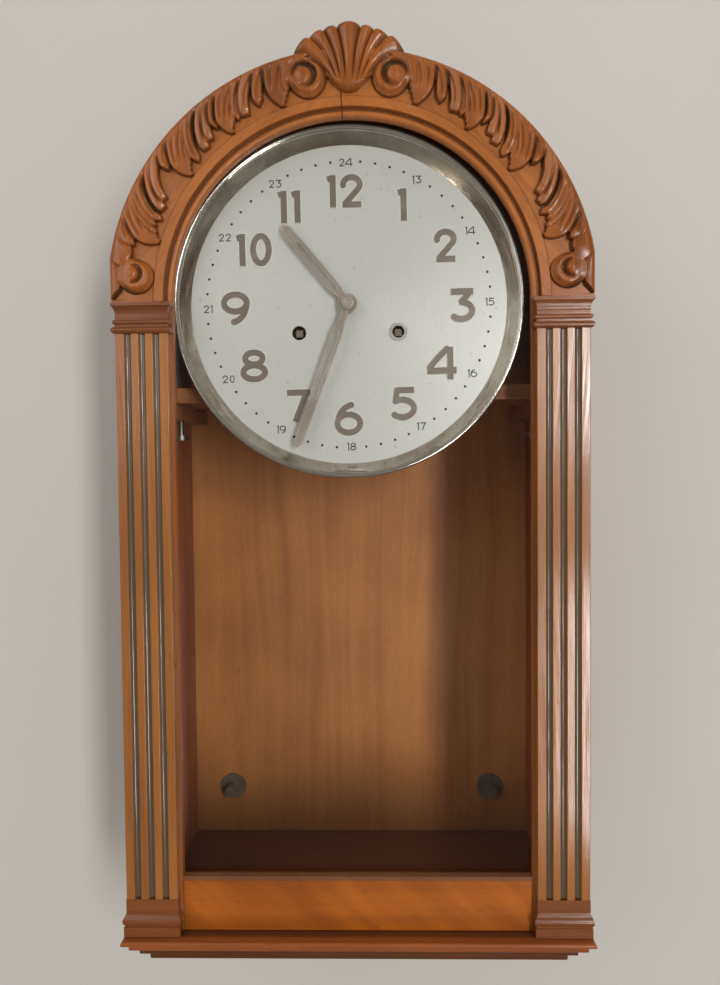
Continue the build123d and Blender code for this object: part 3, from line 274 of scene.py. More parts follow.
def bent_fibres(place):
    """Wood coordinates round the arch: angle times radius, radius and depth."""
    x, z = place.part(0), place.part(2) - DIAL * MM
    angle = place.math("ARCTAN2", z, x)
    radius = (x * x + z * z) ** 0.5
    return place.node("CombineXYZ", {}, {0: angle * 0.14, 1: radius, 2: place.part(1)})


def wood(name, light, dark, fibres, figure=0.0, shade=None, pores=0.5, gloss=0.34, coat=0.22, cloud=0.5, grain=1.0):
    """Lacquered hardwood: soft clouds, bands and growth lines that wander, fine fibres and short pores, and a polish
    that fills the grain in streaks.

    All are drawn out along the fibres. grain is how much the lines show, and figure a silky slanting figure.
    shade(place) gives how strongly a colour lies over the wood, 0 to 1, and that colour: painted shade and sheen, old
    lacquer, dark joints and dust, as each shade function says.
    """

    def paint(place):
        run = fibres(place)
        wander = run.stretch(2.2, 9.0, 9.0).noise(1.0, 2.0) - 0.5
        along, across = run.part(0), run.part(1) + wander * 0.05
        laid = place.node("CombineXYZ", {}, {0: along, 1: across, 2: run.part(2)})
        clouds = place.noise(13.0, 2.0) - 0.5
        bands = laid.stretch(3.0, 70.0, 70.0).noise(1.0, 2.0) - 0.5
        growth = laid.stretch(4.0, 330.0, 330.0).noise(1.0, 3.0, 0.6) - 0.5
        threads = laid.stretch(38.0, 1300.0, 1300.0).noise(1.0, 2.0, 0.6)
        pits = laid.stretch(120.0, 2600.0, 2600.0).noise(1.0, 1.0).step(0.62, 0.74)
        amount = 0.5 + clouds * cloud + bands * 0.9 + growth * (0.9 * grain) + (threads - 0.5) * (0.4 * grain)
        if figure:
            slant = place.node("CombineXYZ", {}, {0: along * 46.0 + across * 58.0, 1: across * 9.0, 2: along * 5.0})
            amount = amount + (slant.noise(1.0, 2.0) - 0.5) * figure
        tint = amount.step(0.0, 1.0).blend(dark, light)
        tint = (pits * pores).blend(tint, tuple(0.35 * part for part in dark))
        if shade:
            depth, tone = shade(place)
            tint = depth.blend(tint, tone)
        smear = place.noise(38.0, 3.0)
        filled = laid.stretch(14.0, 1300.0, 1300.0).noise(1.0, 2.0, 0.6).step(0.38, 0.62)
        return {
            "Base Color": tint,
            "Coat Weight": (filled * 1.5 + 0.2) * coat,
            "Roughness": gloss + (smear - 0.5) * 0.16 + pits * 0.12,
            "Normal": place.bump(threads * 0.5 - pits * 0.8, 0.22, 0.0003),
        }

    return finish(name, paint, Coat_Roughness=0.16, Specular_IOR_Level=0.32)


def metal(name, bright, dull, rough, spots, lines=None, metallic=1.0):
    """Metal with tarnish in soft clouds and fine specks, and fine marks left by polishing or turning."""

    def paint(place):
        clouds = place.noise(42.0, 4.0, 0.6).step(0.36, 0.74)
        specks = place.noise(900.0, 2.0).step(0.66, 0.76)
        marks = (lines(place) if lines else place.stretch(1.0, 1.0, 9.0)).noise(420.0, 2.0)
        tint = (clouds * spots + specks * 0.25).blend(bright, dull)
        return {
            "Base Color": tint,
            "Roughness": rough + clouds * 0.10 + (marks - 0.5) * 0.12,
            "Normal": place.bump(marks, 0.06, 0.0002),
        }

    return finish(name, paint, Metallic=metallic)


# painted shade in grooves and on the base board, and old dark lacquer along joints
SHADE_AND_OLD_LACQUER = colour(44, 26, 16)
GREY_LACQUER = colour(76, 69, 57)
RAIL_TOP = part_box("door_rail")[1][2]
# a pale painted sheen on some carved lobes
PAINTED_SHEEN_LACQUER = colour(186, 142, 112)
# painted shade, over old dark lacquer, in the cuts of the carving
CARVED_SHADE_AND_LACQUER = colour(58, 42, 29)


def flute_shade(place):
    """Grey-brown in the flutes, where the surface lies behind the pilaster faces and inside their edges."""
    flutes = 1 - (place.part(0).size() - PILASTER * MM).size().step(12.4 * MM, 12.8 * MM)
    return place.part(1).step((FACE + 0.7) * MM, (FACE + 1.7) * MM) * flutes * 0.9, GREY_LACQUER


def arch_shade(place):
    """Painted shade over old dark lacquer in the groove beside the edge bead, painted shade along the foot of the
    plain band, and a dark joint at the seam.
    """
    x, z = place.part(0), place.part(2) - DIAL * MM
    radius = (x * x + z * z) ** 0.5
    groove = 1 - (radius - GROOVE * MM).size().step(0.5 * MM, 1.3 * MM)
    foot = 1 - (radius - (BAND_EDGE + 0.3) * MM).size().step(0.1 * MM, 0.9 * MM)
    lean = math.radians(SEAM_LEAN)
    seam = (1 - (x * math.cos(lean) + z * math.sin(lean)).size().step(0.15 * MM, 0.6 * MM)) * z.step(0.05, 0.06)
    return (groove * 0.6).larger(foot * 0.4).larger(seam * 0.95), SHADE_AND_OLD_LACQUER


def joint_shade(place):
    """Dark along the upright joints at both ends of the bottom rail, and grey dust on its bevelled top."""
    joint = place.part(0).size().step(RAIL_END * MM, (RAIL_END + 0.8) * MM)
    dust = place.part(2).step(RAIL_TOP - 0.0035, RAIL_TOP - 0.0020)
    return joint.larger(dust) * 0.6, dust.blend(SHADE_AND_OLD_LACQUER, GREY_LACQUER)


def carved_shade(place):
    """Painted shade over old dark lacquer in the cuts of the carving and towards the ground, and a pale painted sheen
    on the square-ended lobes.
    """
    hollow = place.node("Attribute", {"attribute_name": "hollow"}, {}, out=2)
    return hollow.size() * 0.88, hollow.step(-0.02, 0.02).blend(PAINTED_SHEEN_LACQUER, CARVED_SHADE_AND_LACQUER)


def low_shade(place):
    """Darker towards the floor of the case, along an edge that wavers a little."""
    waver = place.stretch(14.0, 14.0, 5.0).noise(1.0, 2.0) * 0.05
    return (1 - (place.part(2) + waver).step((FLOOR + 10) * MM, (FLOOR + 110) * MM)) * 0.62, colour(58, 30, 16)


def floor_shade(place):
    """Painted shadow on the base board: on its top behind the lip, where the door shades it, and on the floor inside
    the case.
    """
    return place.part(1).step(-152.0 * MM, -147.5 * MM) * 0.66, SHADE_AND_OLD_LACQUER


def upright(place):
    return straight_fibres(place, 90.0)


def level(place):
    return straight_fibres(place, 0.0)


finishes = {
    "back": wood("panel wood", colour(194, 127, 67), colour(158, 97, 49), upright, gloss=0.42, coat=0.1,
                 shade=low_shade, cloud=0.9, grain=0.45),
    "sides": wood("side board wood", colour(165, 90, 48), colour(118, 60, 29), upright, gloss=0.42, coat=0.12),
    "hood": wood("hood wood", colour(136, 80, 42), colour(98, 56, 28), bent_fibres, gloss=0.40, coat=0.15),
    "base": wood("base wood", colour(154, 83, 36), colour(121, 63, 25), level, shade=floor_shade),
    "seat": wood("seat wood", colour(170, 106, 55), colour(126, 75, 39), level, gloss=0.5, coat=0.05),
    "rail": wood("rail wood", colour(176, 95, 22), colour(137, 70, 15), level, figure=1.3, shade=joint_shade,
                 grain=0.4),
    "stile": wood("stile wood", colour(160, 94, 45), colour(122, 70, 32), upright),
    "arch_left": wood("left arch wood", colour(178, 106, 49), colour(142, 82, 35),
                      lambda place: straight_fibres(place, 52.0), shade=arch_shade),
    "arch_right": wood("right arch wood", colour(178, 106, 49), colour(142, 82, 35),
                       lambda place: straight_fibres(place, -48.0), shade=arch_shade),
    "pilaster": wood("pilaster wood", colour(165, 104, 50), colour(128, 79, 37), upright, shade=flute_shade,
                     gloss=0.30, coat=0.75),
    "moulding": wood("moulding wood", colour(131, 73, 33), colour(98, 52, 22), level, gloss=0.32, coat=0.4),
    "carved": wood("carved wood", colour(160, 90, 37), colour(116, 63, 24), upright, shade=carved_shade,
                   gloss=0.30, coat=0.35, pores=0.3),
    "bead": wood("glazing bead wood", colour(120, 74, 44), colour(84, 50, 28), upright, gloss=0.45, coat=0.1),
}


def rings_round_dial(place):
    """Polar place about the dial centre, drawn out round it: radius, a little of the angle, depth."""
    x, z = place.part(0) - DIAL_X * MM, place.part(2) - DIAL * MM
    radius = (x * x + z * z) ** 0.5
    angle = place.math("ARCTAN2", z, x)
    return place.node("CombineXYZ", {}, {0: radius * 4.0, 1: angle * 0.01, 2: place.part(1)})


def silvered(place):
    """Silvered plate: brushed round the centre, with soft clouds and a few dull freckles."""
    brushed = rings_round_dial(place).noise(700.0, 2.0)
    clouds = place.noise(9.0, 3.0)
    freckles = place.noise(260.0, 1.0).step(0.73, 0.78)
    tint = (clouds * 0.5 + (brushed - 0.5) * 0.15).blend(colour(208, 207, 203), colour(197, 196, 192))
    tint = (freckles * 0.3).blend(tint, colour(140, 128, 108))
    return {
        "Base Color": tint,
        "Roughness": 0.37 + (brushed - 0.5) * 0.18,
        "Normal": place.bump(brushed, 0.38, 0.0002),
    }


def figure_metal(place):
    """Pressed nickel: a near-white painted highlight on the raised edges, and a brown-grey tarnish on the flats
    between them.
    """
    flat = place.node("Attribute", {"attribute_name": "hollow"}, {}, out=2)
    clouds = place.noise(90.0, 3.0)
    tint = (flat + (clouds - 0.5) * 0.4 * flat).blend(colour(240, 237, 231), colour(126, 114, 103))
    return {"Base Color": tint, "Roughness": 0.34 + clouds * 0.12}


def ink(place):
    """Printed black, a little rubbed."""
    wear = place.noise(1500.0, 2.0)
    return {"Base Color": wear.blend(colour(18, 18, 20), colour(52, 50, 50)), "Roughness": 0.55 + (wear - 0.5) * 0.2}


finishes.update({
    "silvered": finish("silvered plate", silvered, Metallic=0.32, Specular_IOR_Level=0.5),
    "ink": finish("printed ink", ink),
    "bezel": metal("bezel plating", colour(220, 211, 198), colour(160, 147, 132), 0.07, spots=0.6,
                   lines=rings_round_dial),
    "bead_plating": metal("bezel bead plating", colour(214, 208, 200), colour(168, 156, 142), 0.14, spots=0.3,
                          lines=rings_round_dial, metallic=0.9),
    "hands": metal("hand nickel", colour(178, 165, 154), colour(136, 121, 111), 0.36, spots=0.6, metallic=0.6),
    "rims": metal("bright nickel", colour(222, 218, 210), colour(176, 166, 154), 0.24, spots=0.4, metallic=0.75),
    "edges": metal("hand edge nickel", colour(192, 180, 168), colour(150, 137, 125), 0.40, spots=0.6, metallic=0.5),
    "nut": metal("hand nut nickel", colour(180, 169, 157), colour(140, 128, 116), 0.36, spots=0.6, metallic=0.5),
    "figures": finish("pressed figures", figure_metal, Metallic=0.4),
    "brass": metal("movement brass", colour(214, 176, 96), colour(142, 104, 48), 0.26, spots=0.5),
    "fittings": metal("fitting brass", colour(206, 168, 92), colour(120, 86, 44), 0.32, spots=0.6),
    "steel": metal("grey steel", colour(150, 146, 138), colour(92, 86, 78), 0.34, spots=0.5),
    "dark_steel": metal("browned steel", colour(132, 118, 102), colour(84, 72, 60), 0.40, spots=0.6, metallic=0.5),
    "iron": metal("cast iron", colour(74, 72, 70), colour(48, 44, 42), 0.55, spots=0.6),
})


def clear_glass():
    """Old window glass: a clear sheet that mirrors a little, more at a slant, with hair scratches that catch light."""
    made = bpy.data.materials.new("window glass")
    made.use_nodes = True
    tree = made.node_tree
    tree.nodes.remove(tree.nodes["Principled BSDF"])
    place = Tone(tree, tree.nodes.new("ShaderNodeTexCoord").outputs["Object"])
    scratch = place.stretch(40.0, 1.0, 900.0).noise(1.0, 2.0).step(0.70, 0.73) * 0.03
    slant = place.node("LayerWeight", {}, {"Blend": 0.5}, out=1)
    mirror = 0.03 + slant**5.0 * 0.9
    clear = place.node("BsdfTransparent", {}, {0: (0.985, 0.99, 0.985)})
    gloss = place.node("BsdfGlossy", {}, {"Roughness": 0.02})
    mixed = place.node("MixShader", {}, {0: mirror + scratch, 1: clear, 2: gloss})
    tree.links.new(mixed.socket, tree.nodes["Material Output"].inputs["Surface"])
    return made


finishes["glass"] = clear_glass()

node_finish = {
    "back_panel": "back", "case_side_left": "sides", "case_side_right": "sides", "case_hood": "hood",
    "base_board": "base", "base_steps": "base", "seat_board": "seat", "seat_cleats": "seat",
    "door_rail": "rail", "door_stile_left": "stile", "door_stile_right": "stile",
    "door_arch_left": "arch_left", "door_arch_right": "arch_right", "pilasters": "pilaster",
    "capitals": "moulding", "plinths": "moulding", "glass_pane": "glass", "glass_beads": "bead",
    "dial_plate": "silvered", "dial_bezel": "bezel", "winding_ferrule": "rims",
    "hour_hand": "hands", "minute_hand": "hands", "hand_nut": "nut",
    "wall_hanger": "steel", "seat_thumb_screws": "steel", "stabiliser_rosettes": "dark_steel",
    "stabiliser_screw_left": "dark_steel", "stabiliser_screw_right": "dark_steel",
    "case_hinge_leaves": "fittings", "door_hinge_leaves": "fittings", "door_hook": "fittings",
    "hook_pivot": "fittings", "hook_pin": "fittings", "gong_block": "iron", "gong_rods": "steel",
    "time_winding_arbor": "dark_steel", "strike_winding_arbor": "dark_steel", "anchor_crutch": "steel",
    "minute_wheel_stud": "steel", "movement_pillars": "steel",
    "shell_crest": "carved", "leaf_spray_left": "carved", "leaf_spray_right": "carved",
}
for name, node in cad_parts.items():
    for held in node.material_slots:
        held.material = finishes[node_finish.get(name, "brass")]


# ---------------------------------------------------------------- flutes


def hollow_flute(middle, low, high):
    """Rounded lining of one flute: across it, as t goes from -1 to 1, the depth follows a half ellipse,
    0.25 + 1.9 sqrt(1 - t^2)."""
    t = np.sin(np.linspace(-np.pi / 2, np.pi / 2, 17))
    x = np.append(middle + 2.05 * t, [middle + 2.2, middle - 2.2])
    y = np.append(FACE + 0.25 + 1.9 * np.sqrt(1 - t**2), [FACE + 2.5, FACE + 2.5])
    return skin(np.stack([np.stack([x, y, 0 * x + z], axis=-1) for z in np.linspace(low, high, 9)]))


foot, head = (corner[2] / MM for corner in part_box("pilasters"))
flutes = [hollow_flute(side * PILASTER + step * FLUTE_STEP, foot, head) for side in (-1, 1) for step in (-1, 0, 1)]
piece("flute_linings", flutes, "door", finishes["pilaster"], sharp=50.0)


# ---------------------------------------------------------------- carving


DEGREE = 140.0 * math.pi / 180  # millimetres along the arch for one degree, in the middle of the carving
ROOT = 157.0  # radius at which the leaves run out over the rolled edge
FADE = (155.2, 149.5)  # radii between which the cuts fade into the rolled edge
INNER = 124.8  # radius at which the carved moulding begins


def along_lobe(x, y, tip, knee, root):
    """Where each point lies along a lobe: millimetres from the tip, and offset to the left of its middle line.

    The middle line is the quadratic Bezier (1-s)^2 tip + 2s(1-s) knee + s^2 root, and the nearest of 61 places
    on it is taken, with the offset measured square to the line there.
    """
    s = np.linspace(0, 1, 61)[:, None]
    line = (1 - s) ** 2 * tip + 2 * s * (1 - s) * knee + s**2 * root
    way = 2 * (1 - s) * (knee - tip) + 2 * s * (root - knee)
    way = way / np.linalg.norm(way, axis=1, keepdims=True)
    run = np.append(0, np.cumsum(np.linalg.norm(np.diff(line, axis=0), axis=1)))
    off_x, off_y = x[:, None] - line[:, 0], y[:, None] - line[:, 1]
    near = np.argmin(off_x**2 + off_y**2, axis=1)
    at = np.arange(len(x))
    off_x, off_y, way = off_x[at, near], off_y[at, near], way[near]
    return run[near] + off_x * way[:, 0] + off_y * way[:, 1], off_y * way[:, 0] - off_x * way[:, 1], run[-1]


def crest(radius, rim):
    """Height of the uncarved moulding: a slow rise outwards, then a quarter ellipse rolls over to the rim."""
    roll = np.clip((radius - rim + 5.0) / 5.0, 0, 1)
    return 3.4 + 2.3 * smooth(126, 143, radius) - 5.0 * (1 - np.sqrt(1 - roll**2))


def carve_lobe(x, y, top, high, painted_sheen, tip, root, half, cut, square=False, veins=(), knee=(0.18, 0.74), nose=1.9):
    """Carve one lobe of a leaf over what is there: a trench round it, a crowned face, rounded edges and veins.

    Half its width closes in a pointed arch at the tip, or stays nearly full where the end is cut square, and grows
    by a quarter to the root. A broad leaf sweeps round on its lower side only, and the upper side is ragged: a saw
    wave along it is taken off the width. Inside is the distance to the outline. The trench is a bell curve just
    outside, and each vein a narrow one that begins some way above the tip. Towards the rim all of it fades out.
    """
    tip, root = np.array([tip[0] * DEGREE, tip[1]]), np.array([root[0] * DEGREE, root[1]])
    bend = tip + np.array(knee) * (root - tip)
    close = (x > tip[0] - half - 6) & (x < root[0] + half + 6)
    q, t, long = along_lobe(x[close], y[close], tip, bend, root)
    if square:
        width = half * np.clip(0.72 + q / 9.0, 0, 1)
    else:
        width = half * (1 - (1 - np.clip(q / (1.6 * half), 0, 1)) ** nose)
    if half > 6.0 and nose < 2.0:
        ragged = np.where(q < 2.0 * half, 0.9 * ((q / 3.4) % 1.0), 0.0)
        width = np.where(t < 0, half * (0.45 + 0.55 * smooth(0.0, 1.6 * half, q)) - ragged, width)
    grow = 1 + 0.25 * smooth(0.3, 1.0, q / long)
    inside = np.minimum(width * grow - np.abs(t), q)
    share = t / (half * grow)
    drop = 0.4 + 0.7 * np.abs(share) ** 2.4 - 0.7 * np.exp(-(((q - half) / (0.9 * half)) ** 2))
    drop = drop + (0.4 + 0.25 * min(cut, 2.4)) * (1 - smooth(0.0, 0.9, inside))
    for vein in veins:
        drop = drop + 1.2 * np.exp(-(((share - vein) * half / 0.6) ** 2)) * smooth(1.0 * half, 1.9 * half, q)
    fade = smooth(*FADE, y[close])
    before = high[close]
    trench = cut * np.exp(-(((inside + 0.5) / (0.4 + 0.2 * cut)) ** 2)) * fade
    before = np.where(before > 0.3, np.maximum(before - trench, 0.3), before)
    over = smooth(-0.24, 0.24, inside)
    high[close] = before + (top[close] - drop * fade - before) * over
    # painted sheen: a pale tone painted on the faces of the square-ended lobes
    painted_sheen[close] = painted_sheen[close] * (1 - over) + over * square * smooth(0.3, 1.4, inside)


def carve_scroll(x, y, high, centre, size, eye, reach, wide, first, last, joined):
    """Carve a scroll: a crowned round that runs into its stem on one side. Returns the groove round its eye.

    joined is the direction, in degrees, of the stem, where the round has no edge and no trench. The groove lies at
    a distance reach from the eye between the angles first and last, and narrows towards both, as the sine does.
    """
    off_x, off_y = x - centre[0] * DEGREE, y - centre[1]
    spread = np.hypot(off_x, off_y)
    inside = size - spread
    lean = math.radians(joined)
    apart = smooth(0.85, 0.25, (off_x * math.cos(lean) + off_y * math.sin(lean)) / np.maximum(spread, 0.1))
    off_x, off_y = x - eye[0] * DEGREE, y - eye[1]
    off = np.hypot(off_x, off_y)
    turn = np.degrees(np.arctan2(off_y, off_x))
    turn = turn + 360 * np.ceil((first - turn) / 360)
    there = np.sqrt(np.sin(np.pi * np.clip((turn - first) / (last - first), 0, 1)))
    face = 5.5 - 2.9 * (1 - smooth(0.0, 3.8, inside)) * apart + 0.8 * np.exp(-((off / (0.5 * reach)) ** 2))
    trench = 2.4 * np.exp(-(((inside + 0.5) / 1.1) ** 2)) * smooth(153.0, 148.0, y) * apart
    before = np.where(high > 0.3, np.maximum(high - trench, 0.3), high)
    over = smooth(-0.24, 0.24, inside)
    high[:] = before + (np.where(apart < 1, np.maximum(face, before * (1 - apart)), face) - before) * over
    return 4.2 * np.exp(-(((off - reach) / (wide * (0.4 + 0.6 * there))) ** 2)) * there


THREE = (0.55, 0.0, -0.42)
TWO = (0.25, -0.3)
# Lobes from the foot of the arch to its top, each over the one before: tip (degrees above the springing, radius),
# angle of the root, half width, depth of the cut round it, square end, veins
LOBES = (
    ((14.2, 141.8), 28.0, 5.0, 0.9, False, (0.2,)),
    ((16.4, 127.4), 32.0, 7.8, 2.8, False, THREE),
    ((19.2, 129.9), 30.0, 2.2, 0.3, False, ()),
    ((21.0, 132.0), 31.5, 2.2, 0.3, False, ()),
    ((22.9, 129.7), 34.5, 3.9, 0.4, False, (0.1,)),
    ((25.9, 131.6), 40.0, 3.4, 4.6, True, (-0.2,)),
    ((28.4, 133.4), 42.0, 2.8, 1.2, True, ()),
    ((35.5, 140.2), 44.5, 3.9, 2.2, False, (0.0,)),
    ((37.6, 127.6), 50.5, 7.2, 2.8, False, THREE),
    ((42.3, 128.6), 53.0, 3.5, 0.4, False, (0.1,)),
    ((46.2, 130.9), 58.0, 3.6, 4.6, True, (-0.2,)),
    ((48.8, 133.0), 59.5, 2.9, 1.2, True, ()),
    ((52.0, 135.4), 61.0, 3.8, 2.2, False, (0.0,)),
    ((54.2, 128.0), 65.0, 6.8, 2.8, False, THREE),
    ((58.1, 131.8), 67.0, 3.2, 0.4, False, (0.1,)),
    ((60.4, 132.0), 69.5, 3.6, 1.6, True, (-0.2,)),
    ((64.8, 133.0), 72.0, 3.6, 2.6, False, (0.0,)),
    ((70.4, 127.2), 75.5, 8.2, 2.8, False, THREE),
    ((73.0, 133.8), 77.0, 2.6, 0.4, False, ()),
)


def carved_spray(side):
    """The carved moulding on one side of the arch, as a height over angle and radius.

    A rolled edge runs along the rim. Lobe after lobe is carved over it, then the scroll at each end. Where there
    is no carving the surface dips behind the plain face of the arch. The section closes behind the rim.
    """
    columns, rows = 640, 108
    angle = np.linspace(0.5, 85.5, columns)[:, None]
    rim = np.minimum(RIM, (ARCH - 0.1) / np.cos(np.radians(angle)))
    radius = INNER + (rim - INNER) * np.linspace(0, 1, rows) ** 0.94
    x, y = np.broadcast_to(angle * DEGREE, radius.shape).ravel(), radius.ravel()
    top = crest(radius, rim).ravel()
    ends = smooth(0.6, 2.2, x / DEGREE + (y - 150.5) * 0.4)
    high = -0.7 + (top - 1.3 * smooth(*FADE, y) + 0.7) * smooth(146.2, 147.6, y) * ends
    painted_sheen = np.zeros(x.shape)
    carve_lobe(x, y, top, high, painted_sheen, (8.6, 144.5), (24.0, ROOT), 7.2, 0.6, knee=(0.15, 0.5), nose=3.0)
    low_cut = carve_scroll(x, y, high, (6.5, 137.9), 11.2, (7.0, 140.5), 5.3, 1.4, 176.0, 364.0, 75.0)
    for tip, root, half, cut, square, veins in LOBES:
        carve_lobe(x, y, top, high, painted_sheen, tip, (root, ROOT), half, cut, square, veins)
    high_cut = carve_scroll(x, y, high, (79.2, 139.7), 12.0, (78.2, 141.6), 6.9, 1.7, 236.0, 536.0, 130.0)
    cut = low_cut + high_cut
    high = np.where(high > 0.3, np.maximum(high - cut, 0.3), high)
    # painted shade, over old dark lacquer, where the carving lies below its crest, less where the painted sheen lies
    dark = smooth(0.5, 3.0, top - high)
    dark = (dark - 0.2 * painted_sheen * (1 - dark)).reshape(radius.shape)
    turn = np.radians(angle)
    edge = np.minimum(rim, ARCH) - 0.1
    ring_radius = np.concatenate([radius, rim - 0.4, edge, edge - 4.0, edge - 4.0, INNER + 0 * rim], axis=1)
    behind = np.broadcast_to([2.0, 7.0, 7.0, 0.8, 0.8], (columns, 5))
    depth = np.concatenate([FIELD - high.reshape(radius.shape), FIELD + behind], axis=1)
    rings = np.stack([side * ring_radius * np.cos(turn), depth, ring_radius * np.sin(turn) + DIAL], axis=-1)
    return skin(rings, np.concatenate([dark, np.full((columns, 5), 0.6)], axis=1))


for side, hand in ((-1, "left"), (1, "right")):
    piece(f"carved_spray_{hand}", [carved_spray(side)], "door", finishes["carved"],
          [f"leaf_spray_{hand}"], sharp=85.0)


def fan_shell():
    """Shell of seven lobes that leave a rounded foot upright and spread to a scalloped rim.

    The valleys between the lobes are cubic Beziers from the round foot through two guides to the rim. Across
    a lobe, where q goes from -1 to 1, the four points of its two valleys are blended evenly, and the rim is pushed out
    by the lobe's crest times the root of 1 - q^2. The height is a quarter circle at the foot and at the rim and sags
    between, less a groove at the valleys that widens along the lobes.
    """
    foot = np.array([(2.0, 128.7), (4.4, 129.4), (6.2, 130.4), (7.4, 131.6)])
    low_guide = np.array([(2.2, 138.0), (6.0, 138.0), (8.7, 138.0), (12.0, 137.0)])
    high_guide = np.array([(2.6, 154.0), (7.8, 154.0), (12.5, 153.4), (15.5, 149.0)])
    rim = np.array([(7.9, 167.3), (16.9, 165.1), (26.5, 159.9), (35.2, 151.8)])
    valleys = np.stack([foot, low_guide, high_guide, rim], axis=1)
    valleys = np.concatenate([(valleys * (-1, 1))[::-1], valleys])
    crests = np.array([(1.2, 4.25), (1.4, 3.05), (0.7, 2.4), (0.0, 4.1), (-0.7, 2.4), (-1.4, 3.05), (-1.2, 4.25)])
    shares = np.sin(np.linspace(-np.pi / 2, np.pi / 2, 29))[:-1]
    lobe = np.append(np.repeat(np.arange(7), 28), 6)
    q = np.append(np.tile(shares, 7), 1.0)[:, None]
    part = (q[:, :, None] + 1) / 2
    guides = valleys[lobe] * (1 - part) + valleys[lobe + 1] * part
    guides[:, 3] += crests[lobe] * np.sqrt(np.clip(1 - q**2, 0, 1))
    p = np.concatenate([np.linspace(0, 0.2, 18)[:-1], np.linspace(0.2, 0.9, 30)[:-1], np.linspace(0.9, 1, 14)])
    spread = np.stack([(1 - p) ** 3, 3 * p * (1 - p) ** 2, 3 * p**2 * (1 - p), p**3], axis=-1)
    flat = np.einsum("pk,nkc->npc", spread, guides)
    x, z = flat[..., 0], flat[..., 1]
    rise = np.sqrt(np.clip(1 - np.clip(1 - p / 0.18, 0, 1) ** 2, 0, 1))
    fall = np.sqrt(np.clip(1 - (np.clip(p - 0.92, 0, 1) / 0.0805) ** 2, 0, 1))
    groove = (1 - np.clip(1 - np.abs(q) ** 2.2, 0, 1) ** 0.6) * (0.6 + 3.2 * p**0.9) * smooth(0.08, 0.4, p)
    heights = 0.4 + (6.6 - 1.5 * np.sin(np.pi * p) ** 2 - groove) * rise * (0.25 + 0.75 * fall)
    front = np.stack([x, FIELD - heights, z + DIAL], axis=-1)
    behind = np.where(np.hypot(x, z) > ARCH, 8.6, 0.4)
    back = np.stack([x, FIELD + behind, z + DIAL], axis=-1)[:, ::-1]
    # painted shade, over old dark lacquer, in the valleys between the lobes, deeper towards the rim
    dark = np.abs(q) ** 4 * (0.3 + 0.55 * p) * smooth(0.08, 0.4, p)
    hollow = np.concatenate([dark, np.full(dark.shape, 0.5)], axis=1)
    return skin(np.concatenate([front, back], axis=1), hollow)


piece("carved_shell", [fan_shell()], "door", finishes["carved"], ["shell_crest"], sharp=50.0)


# ---------------------------------------------------------------- dial figures and hands


def bow(centre, wide, high, start, end, steps=28):
    """Points on an ellipse from one angle to another, in degrees."""
    turn = np.radians(np.linspace(start, end, steps))
    return np.stack([centre[0] + wide * np.cos(turn), centre[1] + high * np.sin(turn)], axis=-1)


def curve(*points, steps=20):
    """Quadratic Bezier through three control points."""
    t = np.linspace(0, 1, steps)[:, None]
    a, b, c = (np.array(point, float) for point in points)
    return (1 - t) ** 2 * a + 2 * t * (1 - t) * b + t**2 * c


# Middle lines of the strokes of each figure, one unit high
STROKES = {
    "0": [bow((0, 0), 0.237, 0.405, 90, 450, 49)],
    "1": [np.array([(0.065, -0.5), (0.065, 0.5)]), np.array([(-0.12, 0.345), (0.07, 0.40)])],
    "2": [np.concatenate([bow((0, 0.19), 0.25, 0.215, 192, -34, 32), [(-0.22, -0.40)]]),
          np.array([(-0.30, -0.405), (0.31, -0.405)])],
    "3": [np.array([(-0.355, 0.41), (0.35, 0.41)]), np.array([(0.27, 0.44), (-0.06, 0.06)]),
          bow((-0.03, -0.16), 0.32, 0.25, 92, -142, 36)],
    "4": [curve((0.20, 0.46), (-0.16, 0.16), (-0.40, -0.17)), np.array([(-0.47, -0.22), (0.46, -0.22)]),
          np.array([(0.25, -0.5), (0.25, 0.5)])],
    "5": [np.array([(-0.25, 0.405), (0.32, 0.405)]), np.array([(-0.20, 0.49), (-0.27, 0.02)]),
          bow((-0.06, -0.145), 0.35, 0.265, 132, -142, 36)],
    "6": [bow((0.0, -0.13), 0.345, 0.275, 90, 450, 45), curve((0.13, 0.44), (-0.26, 0.36), (-0.34, -0.08))],
    "7": [np.array([(-0.36, 0.405), (0.40, 0.405)]), np.array([(0.27, 0.44), (-0.11, -0.5)])],
    "8": [bow((0, 0.225), 0.265, 0.18, 90, 450, 41), bow((0, -0.195), 0.33, 0.21, 90, 450, 45)],
    "9": [bow((0.0, 0.15), 0.345, 0.255, 90, 450, 45), curve((-0.10, -0.43), (0.28, -0.36), (0.34, 0.10))],
}
# Middle of each number on the dial, right of and above its centre: they were pinned on one by one
PLACES = {
    1: (35.6, 65.2), 2: (64.3, 38.3), 3: (75.2, -1.0), 4: (61.5, -39.0), 5: (36.4, -65.3), 6: (-0.6, -75.3),
    7: (-34.1, -66.1), 8: (-63.3, -39.2), 9: (-75.1, -0.8), 10: (-62.1, 37.3), 11: (-39.0, 65.0), 12: (-1.7, 74.7),
}
HOUR_HIGH, HOUR_STROKE = 21.9, 4.9  # pressed figures
SMALL_HIGH, SMALL_STROKE, SMALL_RADIUS = 5.4, 0.66, 93.5  # printed figures, and how far out they stand
DOT_RADIUS = 94.2  # how far out the minute dots stand
NARROW, BROAD = 0.41, 0.85  # room for a 1 and for any other sign, with the gap, for figures one unit high
# Turns a figure with the plate
UPRIGHT = np.array([[math.cos(math.radians(DIAL_TURN)), math.sin(math.radians(DIAL_TURN))],
                    [-math.sin(math.radians(DIAL_TURN)), math.cos(math.radians(DIAL_TURN))]])


def set_out(text):
    """Each sign of a number with its shift from the middle of the number, for figures one unit high."""
    widths = np.array([NARROW if sign == "1" else BROAD for sign in text])
    return zip(text, np.cumsum(widths) - widths / 2 - widths.sum() / 2)


